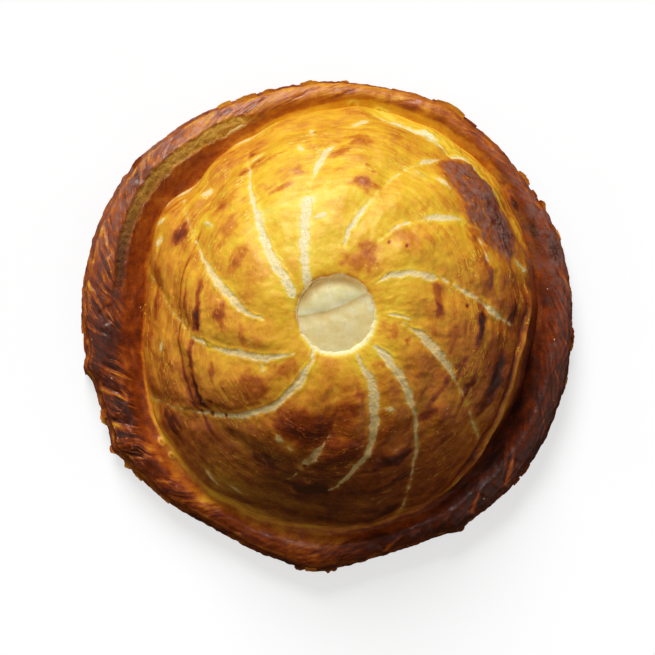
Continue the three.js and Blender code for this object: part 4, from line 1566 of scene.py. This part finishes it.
    def _bake(self, skin: RimSkin, points: Array) -> Array:
        """How far the rim is baked, from 0 where it is pale to 1 where it is dark."""
        angle = skin.angle
        uneven = skin.grain(7.0, 3, 2.2)
        outer = smooth(skin.across + 0.14 * uneven, 0.36, 0.62)
        baked = mix(self.inner_bake.at(angle), self.outer_bake.at(angle), outer)
        baked += 0.04 * skin.grain(5.0, 3, 6.4)
        from_groove = skin.reach - skin.groove + 0.6 * uneven - self.groove_width.at(angle)
        baked = mix(GROOVE_BAKE.at(angle), baked, smooth(from_groove, -0.6, 0.6))
        for patch in self.patches:
            along, out = skin.local(patch)
            baked += patch.amount * patch.share(along + 1.6 * uneven, out + uneven)
        dark_side = smooth(np.cos(np.radians(angle + 40.0)), -0.3, 0.6)
        baked = mix(baked, mix(*self.cut_bake, dark_side), 0.8 * np.clip(skin.cuts, 0.0, 1.0))
        # the gaps beside the lips are painted dark as shade
        baked = mix(baked, self.painted_gap_shade, 0.5 * np.clip(skin.gaps, 0.0, 1.0)) - skin.paler
        baked = mix(baked, self.band_bake.at(skin.full), skin.torn) - 0.2 * skin.rings
        on_edge = mix(*self.side_bake, dark_side) - 0.3 * (skin.tooth - 0.5)
        on_edge += 0.16 * grain(skin.side_places, 4.0, 2, 1.9) - 0.15 * smooth(skin.down, 0.6, 1.0)
        baked = mix(baked, on_edge, np.where(skin.on_side, smooth(skin.down, 0.0, 0.12), 0.0))
        underside = self.under_bake + 0.1 * grain(points, 12.0, 3, 4.1)
        return np.select((skin.under, skin.floor), (underside, np.full_like(baked, self.floor_bake)), baked)

    def build(self, finish: bpy.types.Material) -> bpy.types.Object:
        """Makes the base and the rim in one piece.

        Args:
            finish: the crust's material.

        Returns:
            The piece.
        """
        corners = ((0.0, 0.0), (2.0, 0.0), (2.0, 1.0), (1.0, 1.0), (0.0, 0.5))
        blank = Blank(corners, (5, self.side_rings - 1, self.rings - 1, 5), self.columns)
        skin = RimSkin(blank, self)
        self._tear(skin)
        self._slash(skin)
        self._layer(skin)
        self._strand(skin)
        self._bubble(skin)
        points = self._points(skin)
        at_right = near(skin.angle, 26.0, 22.0)
        scorched = 0.6 * at_right * (1.0 - smooth(skin.across, 0.3, 0.55))
        scorched *= smooth(skin.grain(6.0, 2, 5.7), -0.6, 0.3)
        # where the rim's top takes the painted sheen
        with_painted_sheen = smooth(skin.across + 0.22 * at_right, 0.3, 0.5) * (1.0 - skin.torn) * skin.on_top
        blank.carry(Mark.BAKE, self._bake(skin, points))
        blank.carry(Mark.OPENING, np.clip(skin.lip, -MOST_OPEN, MOST_OPEN))
        blank.carry(Mark.DULL_AND_SHADE, np.maximum(skin.torn, scorched) * skin.on_top)
        blank.carry(Mark.BLOOM, self.bloom.at(skin.angle) * with_painted_sheen)
        blank.carry(Mark.STRAND, np.where(skin.on_side, 0.0, skin.strand))
        blank.carry(Mark.LEAN, skin.slant)
        piece = blank.piece("pastry_rim", points, finish)
        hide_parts("pastry")
        return piece


@dataclass(frozen=True)
class Flake:
    """Thin leaf of pastry at the rim's edge: its place, length round the rim, width, lift and bake."""

    angle: float
    height: float
    length: float
    width: float
    lift: float
    bake: float


@dataclass
class Flakes:
    """Loose leaves of pastry that stand off the rim's edge."""

    rim: Rim
    thickness: float = 0.35
    root: float = 1.6
    scattered: int = 34
    seed: int = 11
    steps: tuple[int, int] = (9, 3)
    large: tuple[Flake, ...] = rows(
        Flake,
        (60.4, 9.5, 13.0, 1.5, 0.6, 0.55), (37.0, 10.0, 7.0, 1.1, 0.5, 0.62),
        (29.4, 9.5, 4.5, 1.3, 0.7, 0.62), (94.0, 9.5, 8.0, 0.9, 0.5, 0.52),
        (104.0, 9.0, 5.0, 0.8, 0.4, 0.55), (202.4, 6.0, 6.0, 1.5, 0.5, 0.60),
        (209.9, 5.0, 4.0, 1.5, 0.3, 0.66), (214.7, 5.5, 4.5, 1.7, 0.4, 0.60),
        (263.7, 4.0, 5.0, 2.0, 0.3, 0.72), (270.7, 4.5, 6.0, 2.2, 0.3, 0.74),
        (303.2, 4.5, 5.0, 1.9, 0.3, 0.76), (356.8, 7.0, 9.0, 1.1, 0.4, 0.66),
    )

    def _all(self) -> Iterable[Flake]:
        """The large leaves and the small ones strewn along the side."""
        yield from self.large
        draw = random.Random(self.seed)
        for _ in range(self.scattered):
            length = draw.uniform(3.0, 9.0)
            width = draw.uniform(0.15, 0.6)
            angle = draw.uniform(0.0, 360.0)
            height = draw.uniform(2.0, 10.0)
            yield Flake(angle, height, length, width, width * 0.4, draw.uniform(0.5, 0.85))

    def _place(self, flake: Flake, outline: float, along: float, out: float) -> Vector:
        """Place of a leaf's point in metres.

        Args:
            flake: the leaf.
            outline: radius of the rim where the leaf stands.
            along: share of the leaf's length from its middle, from -0.5 to 0.5.
            out: share of the way from its root to its tip.

        Returns:
            The place.
        """
        frayed = 1.0 + 0.9 * noise.noise((along * flake.length * 0.8, flake.angle, flake.height))
        tip = 0.7 * flake.width * frayed * (1.0 - abs(2.0 * along) ** 1.8)
        radius = outline - self.root + out * (self.root + tip)
        turn = math.radians(flake.angle) + along * flake.length / outline
        height = flake.height + flake.lift * out**2 + 0.5 * along * flake.lift
        return Vector((radius * math.cos(turn), radius * math.sin(turn), height)) * MM

    def build(self, finish: bpy.types.Material) -> bpy.types.Object:
        """Makes the leaves in one piece.

        Args:
            finish: the crust's material.

        Returns:
            The piece.
        """
        shape = bmesh.new()
        marks = {mark: shape.verts.layers.float.new(mark.value) for mark in Mark}
        columns, rows = self.steps
        for flake in self._all():
            outline = float(self.rim.outline(np.array([flake.angle]))[0])
            for vert in bmesh.ops.create_grid(shape, x_segments=columns, y_segments=rows, size=0.5)["verts"]:
                vert.co = self._place(flake, outline, vert.co.x, vert.co.y + 0.5)
                vert[marks[Mark.BAKE]] = flake.bake
                vert[marks[Mark.OPENING]] = -MOST_OPEN
        bmesh.ops.recalc_face_normals(shape, faces=shape.faces[:])
        bmesh.ops.solidify(shape, geom=shape.faces[:], thickness=self.thickness * MM)
        bmesh.ops.recalc_face_normals(shape, faces=shape.faces[:])
        mesh = bpy.data.meshes.new("pastry_flakes")
        shape.to_mesh(mesh)
        shape.free()
        piece = piece_of(mesh, "pastry_flakes", finish)
        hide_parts("pastry")
        return piece


@dataclass
class PotatoSlice:
    """Round slice of potato that follows the dome under the vent, thinner towards its edge."""

    dome: Dome
    node: str
    middle: tuple[float, float]
    under: float
    turn: float
    over: "PotatoSlice | None" = None
    radius: float = 29.0
    thickness: float = 2.2
    edge_thickness: float = 0.15
    droop: float = 0.17
    curl: float = 2.5
    brim: float = 0.9
    brim_width: float = 2.2
    columns: int = 240
    rings: int = 44
    under_rings: int = 20
    waves: tuple[tuple[float, float, float], ...] = ((3, 0.03, 0.0), (5, 0.02, 1.0), (9, 0.006, 0.0))

    def edge(self, own: Array) -> Array:
        """Radius of the slice at an angle of its own, in radians."""
        wavy = sum(size * np.sin(count * own + shift) for count, size, shift in self.waves)
        return self.radius * (1.0 + wavy)

    def beyond(self, x: Array, y: Array) -> Array:
        """How far a place lies past the slice's edge, in millimetres."""
        x, y = x - self.middle[0], y - self.middle[1]
        return np.hypot(x, y) - self.edge(np.arctan2(y, x) - math.radians(self.turn))

    def build(self, finish: bpy.types.Material) -> bpy.types.Object:
        """Makes the slice.

        Args:
            finish: the potato's material.

        Returns:
            The piece.
        """
        corners = ((0.0, 0.0), (1.0, 0.0), (1.0, 1.0), (0.0, 1.0))
        blank = Blank(corners, (self.under_rings, 3, self.rings), self.columns)
        around = outward(np.radians(blank.angle + self.turn))
        ragged = 0.3 * grain(around * self.radius, 2.6, 3, 4.2)
        share = np.where(blank.radius > 1.0 - HAIR, 1.0, blank.radius**0.8)
        reach = share * (self.edge(np.radians(blank.angle)) + ragged * smooth(share, 0.8, 1.0))
        places = around * reach[:, None]
        places[:, :2] += self.middle
        x, y = places[:, 0].copy(), places[:, 1].copy()
        thin = smooth(share, 0.55, 1.0)
        drop = mix(self.thickness, self.edge_thickness, thin) * (1.0 - blank.height) + self.droop * thin
        relief = 0.1 * grain(places, 2.4, 3, 6.8) + 0.25 * grain(places, 9.0, 2, 2.5)
        height = self.dome.underside(x, y) - self.under - drop + relief * blank.height
        from_vent = self.dome.vent_radius - np.hypot(x, y)
        height += self.brim * self.dome.shaded_wall(x, y) * bell(from_vent, self.brim_width) * blank.height
        # painted shade near the vent's back wall, and past the upper slice's edge on the lower slice
        at_back = smooth(y - 0.25 * x, 3.0, 12.0)
        shaded = 1.1 * at_back * (1.0 - smooth(from_vent + relief, 0.6, 4.6))
        if self.over:
            beyond = self.over.beyond(x, y)
            height += self.curl * smooth(beyond, -7.0, -2.0)
            shaded = np.maximum(shaded, 0.6 * (1.0 - smooth(beyond + 0.5 * relief, -0.4, 3.2)))
        places[:, 2] = height
        places[:, :2] += self.dome.axis
        blank.carry(Mark.DULL_AND_SHADE, shaded)
        blank.carry(Mark.BAKE, smooth(share, 0.962, 0.99))
        piece = blank.piece(self.node, places, finish)
        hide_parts(self.node)
        return piece


@dataclass(frozen=True)
class Lamp:
    """Far lamp: where it hangs, how wide it looks and how strong it is."""

    name: str
    azimuth: float
    height: float
    spread: float
    power: float

    def hang(self) -> None:
        """Puts the lamp into the scene."""
        lamp = bpy.data.lights.new(self.name, "SUN")
        lamp.energy = self.power
        lamp.angle = math.radians(self.spread)
        turn = math.radians(self.azimuth)
        rise = math.radians(self.height)
        towards = Vector((math.cos(rise) * math.cos(turn), math.cos(rise) * math.sin(turn), math.sin(rise)))
        hung = bpy.data.objects.new(self.name, lamp)
        hung.rotation_euler = towards.to_track_quat("Z", "Y").to_euler()
        bpy.context.scene.collection.objects.link(hung)


@dataclass
class Studio:
    """White table, a soft lamp behind the pie, a glow to each side, dim fill and a camera straight above."""

    table_width: float = 4000.0
    lamps: tuple[Lamp, ...] = (
        Lamp("window_lamp", 102.0, 36.0, 30.0, 3.45),
        Lamp("left_glow", 168.0, 30.0, 90.0, 0.58),
        Lamp("right_glow", 350.0, 34.0, 80.0, 0.52),
    )
    fill: float = 0.065
    fill_colour: Colour = (1.0, 0.78, 0.45)
    camera_height: float = 1200.0
    camera_offset: tuple[float, float] = (0.2, -0.4)
    frame_width: float = 264.6
    frame_at_height: float = 9.0
    sensor: float = 36.0

    def lay_table(self, finish: bpy.types.Material) -> bpy.types.Object:
        """Lays the table top under the pie."""
        shape = bmesh.new()
        bmesh.ops.create_grid(shape, x_segments=1, y_segments=1, size=self.table_width / 2.0 * MM)
        mesh = bpy.data.meshes.new("table")
        shape.to_mesh(mesh)
        shape.free()
        mesh.materials.append(finish)
        table = bpy.data.objects.new("table", mesh)
        bpy.context.scene.collection.objects.link(table)
        table.visible_diffuse = False
        table.visible_glossy = False
        table.visible_shadow = False
        return table

    def light(self) -> None:
        """Hangs the lamps and sets the dim fill all round."""
        for lamp in self.lamps:
            lamp.hang()
        world = bpy.data.worlds.new("dim_room")
        world.use_nodes = True
        room = world.node_tree.nodes["Background"]
        room.inputs["Color"].default_value = (*self.fill_colour, 1.0)
        room.inputs["Strength"].default_value = self.fill
        bpy.context.scene.world = world

    def aim_camera(self) -> None:
        """Sets the camera straight above the pie."""
        lens = bpy.data.cameras.new("camera")
        lens.sensor_width = self.sensor
        lens.lens = self.sensor * (self.camera_height - self.frame_at_height) / self.frame_width
        camera = bpy.data.objects.new("camera", lens)
        camera.location = (self.camera_offset[0] * MM, self.camera_offset[1] * MM, self.camera_height * MM)
        bpy.context.scene.collection.objects.link(camera)
        bpy.context.scene.camera = camera
        bpy.context.scene.view_settings.view_transform = "Standard"


def main() -> None:
    """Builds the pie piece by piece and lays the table."""
    logging.basicConfig(level=logging.INFO, format="%(message)s")
    dome = Dome()
    crust = CrustFinish(axis=(*dome.axis, 0.0)).make()
    potato = PotatoFinish().make()
    rim = Rim(dome)
    upper_slice = PotatoSlice(dome, "potato_slice_upper", (-9.5, 28.2), 0.5, -41.0)
    pieces = [
        Lid(dome).build(crust),
        rim.build(crust),
        Flakes(rim).build(crust),
        upper_slice.build(potato),
        PotatoSlice(dome, "potato_slice_lower", (5.0, -8.0), 3.2, 145.0, over=upper_slice).build(potato),
    ]
    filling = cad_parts["filling"]
    filling.data.materials.clear()
    filling.data.materials.append(FillingFinish().make())
    studio = Studio()
    studio.lay_table(FloorFinish().make())
    studio.light()
    studio.aim_camera()
    for piece in pieces:
        log.info("%s: %d faces", piece.name, len(piece.data.polygons))


if __name__ == "__main__":
    main()
